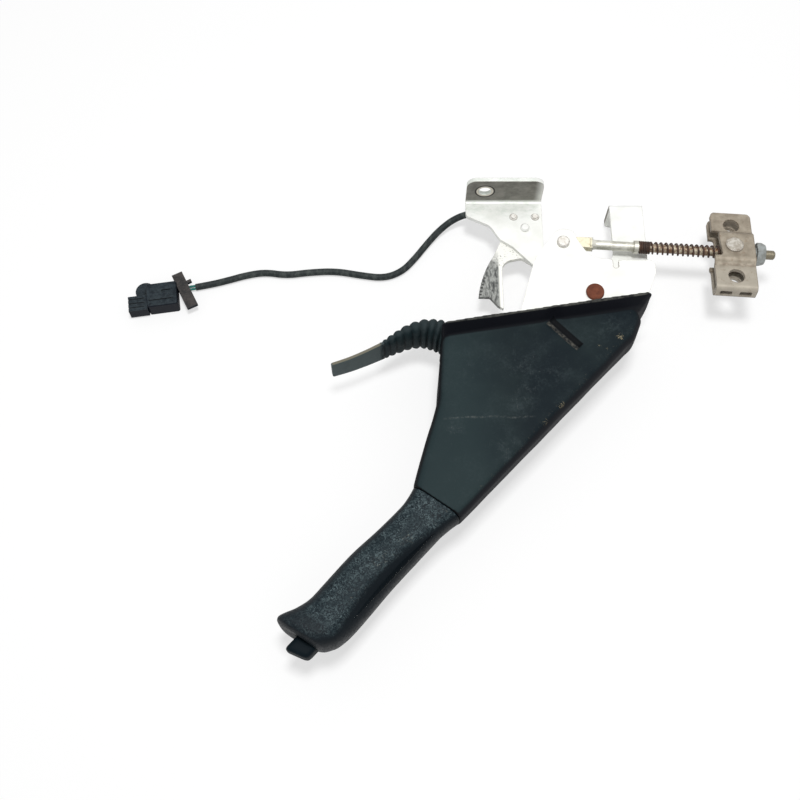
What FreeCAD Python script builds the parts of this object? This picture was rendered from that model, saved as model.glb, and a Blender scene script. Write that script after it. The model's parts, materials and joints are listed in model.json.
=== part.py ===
"""Handbrake lever with ratchet, pull rod, cable equalizer, boot, grip and switch lead.

The lever lies on its side: X to the rear, Y towards the mounting feet, Z up from the floor.
Outlines in the plane are drawn about the lever's pivot, in millimetres.
"""
import FreeCAD, Part
import math
import os
from FreeCAD import Matrix, Placement, Rotation, Vector

os.makedirs("parts", exist_ok=True)
doc = FreeCAD.newDocument("handbrake_lever")

# Driving dimensions: name, value in millimetres or degrees, meaning
SIZES = [
    ("pivot_x", 36.05, "lever pivot, along X"),
    ("pivot_y", 75.65, "lever pivot, along Y"),
    ("middle_height", 31.0, "middle plane of grip and boot above the floor"),
    ("sheet_steel", 2.0, "lever side plates and web"),
    ("lever_bottom", 16.0, "underside of the far side plate"),
    ("lever_width", 28.0, "over both side plates"),
    ("base_thickness", 3.0, "base bracket sheet"),
    ("sector_thickness", 3.0, "ratchet sector plate"),
    ("base_height", 22.5, "underside of the base bracket, top of the sector"),
    ("front_foot_rise", 24.5, "front foot above the bracket's top face"),
    ("foot_hole", 9.0, "bolt holes of the feet"),
    ("front_foot_line", 82.9, "front foot plane from the pivot"),
    ("rear_foot_line", 77.5, "rear foot plane from the pivot"),
    ("sector_radius", 75.5, "tips of the ratchet teeth"),
    ("tooth_depth", 2.0, "depth of the ratchet teeth"),
    ("tooth_pitch", 2.05, "angle between ratchet teeth"),
    ("tooth_count", 6.0, "ratchet teeth"),
    ("last_tooth", 173.2, "angle of the last tooth"),
    ("pivot_pin", 10.0, "pivot pin diameter"),
    ("pivot_head", 14.2, "pivot pin head diameter"),
    ("rod_pin", 7.0, "pull rod pin diameter"),
    ("rod_pin_x", -18.8, "pull rod pin from the pivot, along X"),
    ("rod_pin_y", 38.1, "pull rod pin from the pivot, along Y"),
    ("pawl_pin", 6.0, "pawl pin diameter"),
    ("pawl_pin_x", -84.0, "pawl pin from the pivot, along X"),
    ("pawl_pin_y", -42.0, "pawl pin from the pivot, along Y"),
    ("fit", 0.05, "radial clearance of turning fits"),
    ("gap", 0.2, "side clearance between pieces that turn"),
    ("rod_height", 33.5, "pull rod axis above the floor"),
    ("rod_shank", 6.5, "pull rod diameter"),
    ("rod_thread", 6.0, "pull rod thread diameter"),
    ("rod_length", 124.5, "neck of the pull rod to its end"),
    ("rod_angle", -4.0, "pull rod direction"),
    ("eye_thickness", 5.0, "flattened eye of the pull rod"),
    ("collar_start", 28.8, "neck to collar of the pull rod"),
    ("collar_length", 3.2, "collar of the pull rod"),
    ("spring_diameter", 8.8, "outer diameter of the rod spring"),
    ("spring_wire", 1.2, "wire of the rod spring"),
    ("trunnion_place", 95.3, "neck of the pull rod to the trunnion axis"),
    ("trunnion_diameter", 12.0, "trunnion barrel"),
    ("equalizer_width", 27.5, "equalizer along the pull rod"),
    ("equalizer_far", 30.5, "trunnion to the equalizer's open end"),
    ("equalizer_near", 34.5, "trunnion to the equalizer's folded end"),
    ("equalizer_sheet", 2.5, "equalizer sheet thickness"),
    ("equalizer_roll", 8.0, "equalizer turned about the pull rod"),
    ("cable_hole", 10.8, "cable holes of the equalizer"),
    ("nut_flats", 14.0, "adjusting nut across flats"),
    ("nut_height", 5.8, "adjusting nut hexagon"),
    ("arm_angle", 227.3, "direction of grip and lever arm"),
    ("arm_x", -106.2, "boot to grip parting from the pivot, along X"),
    ("arm_y", -144.2, "boot to grip parting from the pivot, along Y"),
    ("grip_length", 113.0, "grip from the parting to its end"),
    ("grip_wall_clear", 0.3, "grip bore around the lever channel"),
    ("button_width", 12.0, "release button across the grip"),
    ("button_depth", 14.0, "release button from side to side"),
    ("button_out", 8.5, "release button beyond the grip's end"),
    ("button_travel", 6.0, "travel of the release button"),
    ("release_rod", 5.0, "release rod diameter"),
    ("boot_wall", 2.5, "wall of the boot"),
    ("boot_width", 42.0, "boot from side to side at its base"),
    ("boot_taper", 34.0, "boot from side to side at the grip"),
    ("flange_width", 62.0, "boot flange from side to side"),
    ("tail_thickness", 2.3, "tail of the boot"),
    ("lead_diameter", 4.8, "sheath of the switch lead"),
    ("wire_diameter", 1.7, "bare wires of the switch lead"),
]
sheet = doc.addObject("Spreadsheet::Sheet", "Sizes")
for row, (alias, value, meaning) in enumerate(SIZES, start=1):
    sheet.set(f"A{row}", meaning)
    sheet.set(f"B{row}", str(value))
    sheet.setAlias(f"B{row}", alias)
doc.recompute()

PIVOT = Vector(sheet.pivot_x, sheet.pivot_y, 0)
SHEET = sheet.sheet_steel
LEVER_BOTTOM = sheet.lever_bottom
LEVER_TOP = sheet.lever_bottom + sheet.lever_width
BASE_BOTTOM = sheet.base_height
BASE_TOP = sheet.base_height + sheet.base_thickness
SECTOR_BOTTOM = sheet.base_height - sheet.sector_thickness
ROD_PIN = Vector(sheet.rod_pin_x, sheet.rod_pin_y, 0)
PAWL_PIN = Vector(sheet.pawl_pin_x, sheet.pawl_pin_y, 0)
ARM = math.radians(sheet.arm_angle)
ARM_ALONG = Vector(math.cos(ARM), math.sin(ARM), 0)
ARM_ACROSS = Vector(math.sin(ARM), -math.cos(ARM), 0)
ARM_START = Vector(sheet.arm_x, sheet.arm_y, 0)
ROD = math.radians(sheet.rod_angle)
ROD_ALONG = Vector(math.cos(ROD), math.sin(ROD), 0)
ROD_NECK = Vector(2.1, 43.0, 0)
UP = Vector(0, 0, 1)


def on_arm(along, across, height=0.0):
    """Point about the pivot, given along and across the lever arm from the grip's parting."""
    return ARM_START + ARM_ALONG * along + ARM_ACROSS * across + UP * height


def on_rod(along, height=0.0):
    """Point about the pivot on the pull rod's axis, from its neck."""
    return ROD_NECK + ROD_ALONG * along + UP * height


def polar(radius, degrees, height=0.0):
    """Point about the pivot at a radius and an angle."""
    turn = math.radians(degrees)
    return Vector(radius * math.cos(turn), radius * math.sin(turn), height)


def rounded(points):
    """Closed outline through corners (x, y, radius): straight edges joined by tangent arcs."""
    count = len(points)
    edges = []
    previous_end = None
    first_start = None
    for index, (x, y, radius) in enumerate(points):
        corner = Vector(x, y, 0)
        before = Vector(*points[index - 1][:2], 0) - corner
        after = Vector(*points[(index + 1) % count][:2], 0) - corner
        if radius > 0:
            half = before.getAngle(after) / 2
            reach = radius / math.tan(half)
            start = corner + before.normalize() * reach
            end = corner + after.normalize() * reach
            toward = (before + after).normalize()
            middle = corner + toward * (radius / math.sin(half) - radius)
        else:
            start = end = corner
        if previous_end is not None and (start - previous_end).Length > 1e-6:
            edges.append(Part.LineSegment(previous_end, start))
        if radius > 0:
            edges.append(Part.Arc(start, middle, end))
        if first_start is None:
            first_start = start
        previous_end = end
    if (previous_end - first_start).Length > 1e-6:
        edges.append(Part.LineSegment(previous_end, first_start))
    return edges


THROUGH = 400.0


def wire(edges):
    """Closed wire from curve pieces."""
    return Part.Wire([edge.toShape() for edge in edges])


def new_body(label, height):
    """Body whose frame stands at the pivot, at a height from the sheet."""
    body = doc.addObject("PartDesign::Body", label)
    body.Label = label
    body.setExpression("Placement.Base.x", "Sizes.pivot_x")
    body.setExpression("Placement.Base.y", "Sizes.pivot_y")
    body.setExpression("Placement.Base.z", height)
    return body


def new_sketch(body, name, edges, plane="XY_Plane", offset="0"):
    """Sketch on one of the body's own planes, moved along that plane's normal."""
    sketch = body.newObject("Sketcher::SketchObject", name)
    origin_plane = [item for item in body.Origin.OriginFeatures if item.Role == plane][0]
    sketch.AttachmentSupport = [(origin_plane, "")]
    sketch.MapMode = "FlatFace"
    sketch.setExpression("AttachmentOffset.Base.z", offset)
    sketch.addGeometry(edges, False)
    return sketch


def pad(body, sketch, length, reverse=False):
    """Pad whose length comes from the sheet."""
    feature = body.newObject("PartDesign::Pad", sketch.Name + "_pad")
    feature.Profile = sketch
    feature.setExpression("Length", length)
    feature.Reversed = reverse
    doc.recompute()
    return feature


def pocket(body, sketch, length=None, reverse=False):
    """Pocket to a depth from the sheet, or through all; it has to take material away."""
    volume = body.Shape.Volume
    feature = body.newObject("PartDesign::Pocket", sketch.Name + "_pocket")
    feature.Profile = sketch
    feature.Reversed = reverse
    if length is None:
        feature.Midplane = True
        feature.Length = THROUGH
    else:
        feature.setExpression("Length", length)
    doc.recompute()
    if body.Shape.Volume > volume - 1e-3:
        raise RuntimeError(f"{feature.Name} removes nothing")
    return feature


def circle(place, diameter):
    """Circle as sketch geometry."""
    return Part.Circle(Vector(place.x, place.y, 0), UP, diameter / 2)


def turned(label, profile, place):
    """Turned piece: outline of (radius, height) corners, turned about an upright axis."""
    body = doc.addObject("PartDesign::Body", label)
    body.Label = label
    body.Placement = Placement(PIVOT + place, Rotation())
    corners = [(radius, height, 0) for radius, height in profile]
    sketch = new_sketch(body, label + "_profile", rounded(corners), "XZ_Plane")
    feature = body.newObject("PartDesign::Revolution", label + "_turn")
    feature.Profile = sketch
    feature.ReferenceAxis = (sketch, ["V_Axis"])
    feature.Angle = 360
    doc.recompute()


def shaped(label, shape, place=None):
    """Piece whose shape is worked out here and that then gets its place."""
    feature = doc.addObject("Part::Feature", label)
    feature.Label = label
    feature.Shape = shape
    feature.Placement = Placement(place or PIVOT, Rotation()).multiply(shape.Placement)


def fillet(body, radius, edge_names):
    """Rounded edges on the body's tip."""
    tip = body.Tip
    feature = body.newObject("PartDesign::Fillet", tip.Name + "_round")
    feature.Base = (tip, edge_names)
    feature.Radius = radius
    doc.recompute()


def edges_where(shape, test):
    """Names of the edges whose both ends pass a test."""
    names = []
    for number, edge in enumerate(shape.Edges, start=1):
        if all(test(vertex.Point) for vertex in edge.Vertexes) and len(edge.Vertexes) == 2:
            names.append(f"Edge{number}")
    return names


def tube(outer, inner, bottom, top):
    """Profile of a plain tube for a turned piece."""
    return [(inner, bottom), (outer, bottom), (outer, top), (inner, top)]


# Base bracket: plate with the front foot folded up and the rear foot folded down
RIVETS = [Vector(-49.1, 70.1, 0), Vector(-34.0, 70.1, 0)]
RIVET = 4.0
SWITCH_SCREW = Vector(-41.5, 61.0, 0)
SCREW_BORE = 4.2


def base_bracket():
    body = new_body("base_bracket", "Sizes.base_height")
    front = sheet.front_foot_line
    rear = sheet.rear_foot_line
    plate = [
        (-82.4, front, 0), (-82.4, 71.0, 3), (-66.0, 63.0, 6), (-59.3, 52.0, 2),
        (-50.5, 46.0, 3), (-33.0, 27.0, 8), (-23.0, 2.0, 8), (-17.0, -18.5, 14),
        (14.0, -18.5, 12), (20.0, -5.0, 8), (33.0, 1.0, 8), (41.7, 14.0, 8), (41.7, rear, 0),
        (18.7, rear, 0), (18.7, 31.0, 12), (-29.2, 31.0, 12), (-29.2, front, 0),
    ]
    pad(body, new_sketch(body, "base_plate", rounded(plate)), "Sizes.base_thickness")
    top = sheet.front_foot_rise + sheet.base_thickness
    upright = [(-82.4, 0, 0), (-29.2, 0, 0), (-29.2, top, 7), (-82.4, top, 7)]
    foot = new_sketch(body, "front_foot", rounded(upright), "XZ_Plane", "-Sizes.front_foot_line")
    pad(body, foot, "Sizes.base_thickness", True)
    down = [(18.7, sheet.base_thickness, 0), (41.7, sheet.base_thickness, 0),
            (41.7, -BASE_BOTTOM, 5), (18.7, -BASE_BOTTOM, 5)]
    foot = new_sketch(body, "rear_foot", rounded(down), "XZ_Plane", "-Sizes.rear_foot_line")
    pad(body, foot, "Sizes.base_thickness", True)
    bends = edges_where(body.Tip.Shape, lambda point: abs(point.y - front) < 0.01
                        and abs(point.z - sheet.base_thickness) < 0.01)
    fillet(body, 1.8, bends)
    outside = edges_where(body.Tip.Shape, lambda point: abs(point.z) < 0.01
                          and abs(point.y - front - sheet.base_thickness) < 0.01)
    outside += edges_where(body.Tip.Shape, lambda point: abs(point.z - sheet.base_thickness) < 0.01
                           and abs(point.y - rear - sheet.base_thickness) < 0.01)
    fillet(body, 2.4, outside)
    holes = [circle(Vector(-69.6, 38.0 - BASE_BOTTOM, 0), sheet.foot_hole),
             circle(Vector(30.2, 10.5 - BASE_BOTTOM, 0), sheet.foot_hole)]
    pocket(body, new_sketch(body, "foot_holes", holes, "XZ_Plane", "-Sizes.rear_foot_line"))
    bores = [circle(Vector(0, 0, 0), sheet.pivot_pin)]
    bores += [circle(place, RIVET + 2 * sheet.fit) for place in RIVETS]
    bores.append(circle(SWITCH_SCREW, SCREW_BORE))
    pocket(body, new_sketch(body, "base_bores", bores))


# Ratchet sector: arched plate on the pivot, riveted under the bracket, teeth on its rim
def ratchet_sector():
    body = new_body("ratchet_sector", "Sizes.base_height - Sizes.sector_thickness")
    rim = sheet.sector_radius
    low = polar(rim, sheet.last_tooth + 0.4)
    middle = polar(rim, 161.0)
    high = polar(rim, 147.5)
    outline = [
        (high.x, high.y, 0), (-57.0, 56.0, 5), (-57.0, 76.5, 5), (-31.0, 76.5, 4),
        (-31.0, 40.0, 6), (-17.0, 14.0, 5), (-3.0, 21.0, 8), (18.0, 12.0, 12),
        (13.0, -18.0, 12), (-13.0, -18.0, 12), (-21.0, 6.0, 6), (-36.5, 33.0, 3),
        (-44.5, 38.8, 6), (-58.2, 35.5, 8), (-58.2, -1.0, 0.6), (-62.0, 1.5, 3),
        (-67.5, 8.2, 1.5), (low.x, low.y, 0),
    ]
    edges = rounded(outline)
    edges[-1] = Part.Arc(low, middle, high)
    pad(body, new_sketch(body, "sector_plate", edges), "Sizes.sector_thickness")
    first = sheet.last_tooth - sheet.tooth_pitch * 0.5
    root = rim - sheet.tooth_depth
    notch = [polar(rim + 1, first - 0.55), polar(root, first - 0.25), polar(root, first + 0.3),
             polar(rim + 1, first + 1.0)]
    gap = new_sketch(body, "tooth_gap", rounded([(point.x, point.y, 0) for point in notch]))
    cut = pocket(body, gap)
    teeth = body.newObject("PartDesign::PolarPattern", "tooth_row")
    teeth.Originals = [cut]
    teeth.Axis = (gap, ["N_Axis"])
    teeth.Reversed = True
    teeth.Occurrences = int(round(sheet.tooth_count))
    teeth.setExpression("Angle", "Sizes.tooth_pitch * (Sizes.tooth_count - 1)")
    body.Tip = teeth
    doc.recompute()
    bores = [circle(Vector(0, 0, 0), sheet.pivot_pin)]
    bores += [circle(place, RIVET + 2 * sheet.fit) for place in RIVETS]
    bores.append(circle(SWITCH_SCREW, SCREW_BORE))
    pocket(body, new_sketch(body, "sector_bores", bores))


# Two rivets through bracket and sector
def sector_rivets():
    rivets = []
    for place in RIVETS:
        shank = Part.makeCylinder(RIVET / 2, BASE_TOP - SECTOR_BOTTOM, place + UP * SECTOR_BOTTOM)
        head = Part.makeCone(2.9, 2.0, 1.3, place + UP * BASE_TOP)
        tail = Part.makeCone(2.2, 2.8, 1.0, place + UP * (SECTOR_BOTTOM - 1.0))
        rivets.append(shank.fuse([head, tail]).removeSplitter())
    return shaped("sector_rivets", Part.makeCompound(rivets))


# Pivot: riveted pin, distance bush and washer, fast to the bracket
def pivot_parts():
    shank = sheet.pivot_pin / 2
    head = sheet.pivot_head / 2
    low = LEVER_BOTTOM - sheet.gap
    high = LEVER_TOP + sheet.gap
    pin = [(0, low - 2.2), (head - 1.2, low - 2.2), (head, low - 1.2), (head, low), (shank, low),
           (shank, high), (head, high), (head, high + 1.4), (head - 1.0, high + 2.2),
           (0, high + 2.2)]
    turned("pivot_pin", pin, Vector(0, 0, 0))
    turned("pivot_bush", tube(8.0, shank + sheet.fit, BASE_TOP, LEVER_TOP - SHEET - sheet.gap),
           Vector(0, 0, 0))
    turned("pivot_washer", tube(9.0, shank + sheet.fit, LEVER_BOTTOM + SHEET + sheet.gap,
                                SECTOR_BOTTOM), Vector(0, 0, 0))


# Lever channel: two side plates with fan, lobe and pawl ears, joined by a web along the arm
ARM_LOW = -12.0
ARM_HIGH = 10.0
CHANNEL_END = 92.0


def lever_channel():
    body = new_body("lever_channel", "Sizes.lever_bottom")
    end_low = on_arm(CHANNEL_END, ARM_LOW)
    end_high = on_arm(CHANNEL_END, ARM_HIGH)
    start_low = on_arm(-148.0, ARM_LOW)
    start_high = on_arm(-8.0, ARM_HIGH)
    outline = [
        (end_high.x, end_high.y, 2), (end_low.x, end_low.y, 2), (start_low.x, start_low.y, 12),
        (18.5, -25.5, 6), (20.6, -13.0, 5), (33.5, -4.0, 4), (36.5, 1.8, 5), (41.8, 15.0, 6),
        (42.0, 24.6, 4.5), (17.4, 24.6, 0.9), (17.4, 18.6, 1.6), (13.8, 18.6, 1.6),
        (13.8, 25.0, 0.9), (1.0, 26.5, 5), (-4.3, 32.3, 4), (-9.2, 41.0, 5), (-11.5, 48.0, 6.5),
        (-21.5, 49.3, 7.5), (-31.5, 36.3, 20), (-38.8, 24.6, 20), (-45.8, 0.0, 10),
        (-50.0, -15.0, 6), (-62.0, -24.5, 3), (-88.0, -31.5, 5), (-94.5, -37.0, 5),
        (-95.0, -55.0, 10), (-98.0, -82.0, 20), (start_high.x, start_high.y, 12),
    ]
    pad(body, new_sketch(body, "side_plates", rounded(outline)), "Sizes.lever_width")
    low_end = on_arm(CHANNEL_END + 5, ARM_LOW + SHEET)
    low_start = on_arm(-147.0, ARM_LOW + SHEET)
    inside = [
        (low_end.x, low_end.y, 0), (low_start.x, low_start.y, 10), (16.6, -24.5, 4),
        (18.4, -12.0, 0), (60.0, -12.0, 0), (60.0, 60.0, 0), (-120.0, 60.0, 0),
        (-240.0, -180.0, 0),
    ]
    hollow = new_sketch(body, "between_plates", rounded(inside), "XY_Plane",
                        "Sizes.sheet_steel")
    pocket(body, hollow, "Sizes.lever_width - 2 * Sizes.sheet_steel", True)
    bores = [circle(Vector(0, 0, 0), sheet.pivot_pin + 2 * sheet.fit),
             circle(ROD_PIN, sheet.rod_pin), circle(PAWL_PIN, sheet.pawl_pin)]
    pocket(body, new_sketch(body, "lever_bores", bores))


# Pull rod pin with its spacers and clip
def rod_pin_parts():
    shank = sheet.rod_pin / 2
    groove = shank - 0.6
    low = LEVER_BOTTOM - 2.4
    pin = [(0, low), (shank, low), (shank, low + 0.9), (groove, low + 0.9),
           (groove, LEVER_BOTTOM - 0.3), (shank, LEVER_BOTTOM - 0.3), (shank, LEVER_TOP),
           (4.3, LEVER_TOP), (4.3, LEVER_TOP + 1.9), (3.7, LEVER_TOP + 2.5), (0, LEVER_TOP + 2.5)]
    turned("rod_pin", pin, ROD_PIN)
    eye_low = sheet.rod_height - sheet.eye_thickness / 2 - sheet.gap
    eye_high = sheet.rod_height + sheet.eye_thickness / 2 + sheet.gap
    bore = shank + sheet.fit
    turned("rod_spacer_near", tube(5.5, bore, eye_high, LEVER_TOP - SHEET), ROD_PIN)
    turned("rod_spacer_far", tube(5.5, bore, LEVER_BOTTOM + SHEET, eye_low), ROD_PIN)
    ring = Part.makeCylinder(5.6, 1.0, UP * (LEVER_BOTTOM - 1.4))
    ring = ring.cut(Part.makeCylinder(groove + 0.05, 1.0, UP * (LEVER_BOTTOM - 1.4)))
    mouth = Part.makeBox(8, 3.6, 1.0, Vector(0, -1.8, LEVER_BOTTOM - 1.4))
    shaped("rod_pin_clip", ring.cut(mouth), PIVOT + ROD_PIN)


# Pawl: bell crank on its own pin, nose at the sector, tail at the release rod
PAWL_THICKNESS = 2.6
PAWL_TOE = 190.0


def tail_point(along_extra=0.0, across=0.0):
    """Where the release rod meets the pawl's tail, about the pivot."""
    foot = (PAWL_PIN - ARM_START).dot(ARM_ALONG)
    return on_arm(foot + along_extra, across)


def pawl_parts():
    height = SECTOR_BOTTOM + (sheet.sector_thickness - PAWL_THICKNESS) / 2
    body = new_body("pawl", str(height))
    toe = polar(sheet.sector_radius + 0.4, PAWL_TOE)
    toe_back = polar(sheet.sector_radius + 4.0, PAWL_TOE - 0.6)
    toe_inner = polar(sheet.sector_radius + 0.9, PAWL_TOE + 2.2)
    heel = tail_point(-3.2, 4.0)
    heel_low = tail_point(-3.2, -4.0)
    tail = tail_point(0.0, -4.0)
    tail_high = tail_point(0.0, 6.0)
    around = PAWL_PIN
    outline = [
        (toe.x, toe.y, 0.3), (toe_inner.x, toe_inner.y, 0.5),
        (around.x + 12.0, around.y + 12.0, 4), (around.x + 14.0, around.y - 2.0, 8),
        (heel.x, heel.y, 2), (heel_low.x, heel_low.y, 0.5), (tail.x, tail.y, 0.5),
        (tail_high.x, tail_high.y, 2),
        (around.x - 1.0, around.y - 12.0, 8), (around.x - 9.5, around.y - 6.0, 6),
        (around.x - 8.5, around.y + 7.0, 6), (toe_back.x, toe_back.y, 0.8),
    ]
    pad(body, new_sketch(body, "pawl_plate", rounded(outline)), str(PAWL_THICKNESS))
    tab_inner = tail_point(-2.4, 4.0)
    tab_outer = tail_point(0.0, 4.0)
    tab = [tail_point(-2.4, -4.0), tail, tab_outer, tab_inner]
    upright = rounded([(point.x, point.y, 0) for point in tab])
    pad(body, new_sketch(body, "pawl_tab", upright), "Sizes.middle_height + 3.5 - " + str(height))
    bore = [circle(PAWL_PIN, sheet.pawl_pin + 2 * sheet.fit)]
    pocket(body, new_sketch(body, "pawl_bore", bore))
    shank = sheet.pawl_pin / 2
    low = LEVER_BOTTOM
    high = LEVER_TOP
    pin = [(0, low - 1.6), (shank + 0.8, low - 1.6), (shank + 1.4, low - 1.0),
           (shank + 1.4, low), (shank, low), (shank, high), (shank + 1.4, high),
           (shank + 1.4, high + 1.0), (shank + 0.8, high + 1.6), (0, high + 1.6)]
    turned("pawl_pin", pin, PAWL_PIN)
    top = height + PAWL_THICKNESS + sheet.gap
    turned("pawl_bush", tube(4.4, shank + sheet.fit, top, high - SHEET), PAWL_PIN)
    # Torsion spring around the bush, between the pawl and the near side plate
    coil("pawl_spring", 5.5, 1.1, 2.3, 4.2, PIVOT + PAWL_PIN + UP * (top + 1.2), UP)


def coil(label, radius, gauge, pitch, turns, place, axis, dead=0):
    """Helical spring: round wire swept along a helix, with close turns first if asked."""
    path = Part.makeHelix(pitch, pitch * turns, radius)
    section = Part.Wire(Part.Circle(Vector(radius, 0, 0), Vector(0, 1, 0), gauge / 2).toShape())
    solid = Part.Wire(path.Edges).makePipeShell([section], True, True)
    if dead:
        close = gauge * 1.02
        low = Part.makeHelix(close, close * dead, radius)
        shift = UP * (close * dead)
        turn = Matrix()
        turn.rotateZ(2 * math.pi * (dead % 1))
        solid = solid.transformGeometry(turn)
        solid.translate(shift)
        start = Part.Wire(low.Edges).makePipeShell([section], True, True)
        solid = start.fuse(solid)
    feature = doc.addObject("Part::Feature", label)
    feature.Label = label
    feature.Shape = solid
    feature.Placement = Placement(place, Rotation(UP, axis))


# Release rod and button, with the spring and the guide in the grip's end
BUTTON_FOOT = 96.0


def release_parts():
    radius = sheet.release_rod / 2
    tip = (PAWL_PIN - ARM_START).dot(ARM_ALONG) + 0.3
    middle = sheet.middle_height
    start = on_arm(tip + radius, 0, middle)
    stem = Part.makeCylinder(radius, BUTTON_FOOT - tip - radius, start, ARM_ALONG)
    nose = Part.makeSphere(radius, start)
    collar = Part.makeCylinder(radius + 1.8, 2.0, on_arm(BUTTON_FOOT - 2.0, 0, middle), ARM_ALONG)
    shaped("release_rod", stem.fuse([nose, collar]).removeSplitter())
    end = sheet.grip_length + sheet.button_out
    half_width = sheet.button_width / 2
    half_depth = sheet.button_depth / 2
    outline = [(-half_width, -half_depth, 2.6), (half_width, -half_depth, 2.6),
               (half_width, half_depth, 2.6), (-half_width, half_depth, 2.6)]
    block = Part.Face(wire(rounded(outline))).extrude(UP * (end - BUTTON_FOOT))
    rim = [edge for edge in block.Edges
           if all(abs(vertex.Z - (end - BUTTON_FOOT)) < 0.01 for vertex in edge.Vertexes)]
    block = block.makeFillet(1.2, rim)
    frame = Matrix(ARM_ACROSS.x, 0, ARM_ALONG.x, 0, ARM_ACROSS.y, 0, ARM_ALONG.y, 0,
                   0, -1, 0, 0, 0, 0, 0, 1)
    turn = Placement(frame)
    turn.Base = on_arm(BUTTON_FOOT, 0, middle)
    block.Placement = turn
    shaped("release_button", block)
    clear = 0.3
    sleeve = block_on_arm(97.5, 108.0, half_width + 2.2, half_depth + 1.7)
    bore = block_on_arm(96.0, 110.0, half_width + clear, half_depth + clear)
    shaped("button_guide", sleeve.cut(bore))
    seat = 66.0
    rest = Part.makeCylinder(8.5, 2.0, on_arm(seat, 0, middle), ARM_ALONG)
    rest = rest.cut(Part.makeCylinder(radius + 0.3, 2.0, on_arm(seat, 0, middle), ARM_ALONG))
    shaped("spring_seat", rest)
    coil("button_spring", 4.6, 1.1, 3.2, 7.6, PIVOT + on_arm(seat + 2.8, 0, middle), ARM_ALONG)


def block_on_arm(start, end, half_across, half_side, shift=0.0):
    """Box along the arm, centred on the middle plane, moved across by a shift."""
    middle = sheet.middle_height
    corners = [on_arm(start, shift - half_across, middle - half_side),
               on_arm(end, shift - half_across, middle - half_side),
               on_arm(end, shift + half_across, middle - half_side),
               on_arm(start, shift + half_across, middle - half_side)]
    face = Part.Face(Part.makePolygon(corners + corners[:1]))
    return face.extrude(UP * (2 * half_side))


def ring_section(left, right, half_side, corner):
    """Rounded rectangle from one side of a moulding to the other, standing on the plane."""
    middle = sheet.middle_height
    across = right - left
    width = across.Length
    outline = [(0, -half_side, corner), (width, -half_side, corner), (width, half_side, corner),
               (0, half_side, corner)]
    section = wire(rounded(outline))
    along = across.normalize()
    normal = along.cross(UP)
    frame = Matrix(along.x, 0, normal.x, left.x, along.y, 0, normal.y, left.y,
                   0, 1, 0, middle, 0, 0, 0, 1)
    section.Placement = Placement(frame)
    return section


def cut_corner_section(left, right, half_side, cut):
    """Rectangle with cut corners, standing on the plane from one side to the other."""
    middle = sheet.middle_height
    along = (right - left).normalize()
    corners = []
    for end, inward in ((left, along), (right, along * -1)):
        side = [end + inward * cut + UP * (middle - half_side), end + UP * (middle - half_side + cut),
                end + UP * (middle + half_side - cut), end + inward * cut + UP * (middle + half_side)]
        corners += side if inward is along else side[::-1]
    return Part.makePolygon(corners + corners[:1])


# Grip: soft sleeve on the arm's end, waisted, flared and slanted at its end
GRIP_STATIONS = [
    # along at front, across at front, along at rear, across at rear, half side, corner
    (2.65, 17.3, -1.9, -17.2, 16.9, 9.0),
    (17.0, 15.2, 16.0, -14.4, 16.6, 11.5),
    (36.0, 15.8, 34.0, -14.0, 16.8, 11.5),
    (58.0, 17.4, 56.0, -14.2, 17.2, 12.0),
    (80.0, 16.8, 78.0, -15.4, 17.6, 12.0),
    (96.0, 16.8, 94.0, -16.4, 18.6, 12.0),
    (106.5, 20.2, 99.0, -16.2, 19.8, 10.0),
    (113.6, 20.8, 107.0, -10.4, 19.0, 9.0),
]


def channel_space(start, end):
    """Room that the lever channel needs inside the mouldings."""
    clear = sheet.grip_wall_clear
    half = (ARM_HIGH - ARM_LOW) / 2 + clear
    space = block_on_arm(start, end, half, sheet.lever_width / 2 + clear,
                         (ARM_HIGH + ARM_LOW) / 2)
    space.translate(UP * (LEVER_BOTTOM + sheet.lever_width / 2 - sheet.middle_height))
    return space


def grip():
    outer = Part.makeLoft([
        ring_section(on_arm(front, high), on_arm(back, low), side, corner)
        for front, high, back, low, side, corner in GRIP_STATIONS], True, True)
    bore = channel_space(-8.0, CHANNEL_END + 4.0)
    seat = block_on_arm(CHANNEL_END, 108.0, sheet.button_width / 2 + 2.2,
                        sheet.button_depth / 2 + 1.7)
    hole = block_on_arm(100.0, 122.0, sheet.button_width / 2 + 0.4, sheet.button_depth / 2 + 0.4)
    shaped("grip", outer.cut(bore.fuse([seat, hole])))


# Boot: shell over the lever, flared flange round its open base, bellows tail
BOOT_BODY = [(-101.5, -33.4), (-103.1, -39.5), (-105.5, -79.6), (-120.5, -134.2),
             (-91.6, -154.6), (22.3, -36.2), (27.4, -22.5), (24.9, -13.0)]
FLANGE_LEFT = Vector(-102.0, -30.3, 0)
FLANGE_RIGHT = Vector(33.3, -8.4, 0)
FLANGE_WALL = 2.0


def inset(points, distance):
    """Outline moved inwards by one distance on every side, for corners listed clockwise."""
    moved = []
    count = len(points)
    for index in range(count):
        before, here, after = (Vector(*points[(index + step) % count], 0) for step in (-1, 0, 1))
        first = (here - before).normalize().cross(UP) * -1
        second = (after - here).normalize().cross(UP) * -1
        bisector = (first + second) / (1 + first.dot(second))
        corner = here + bisector * distance
        moved.append((corner.x, corner.y))
    return moved


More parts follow.
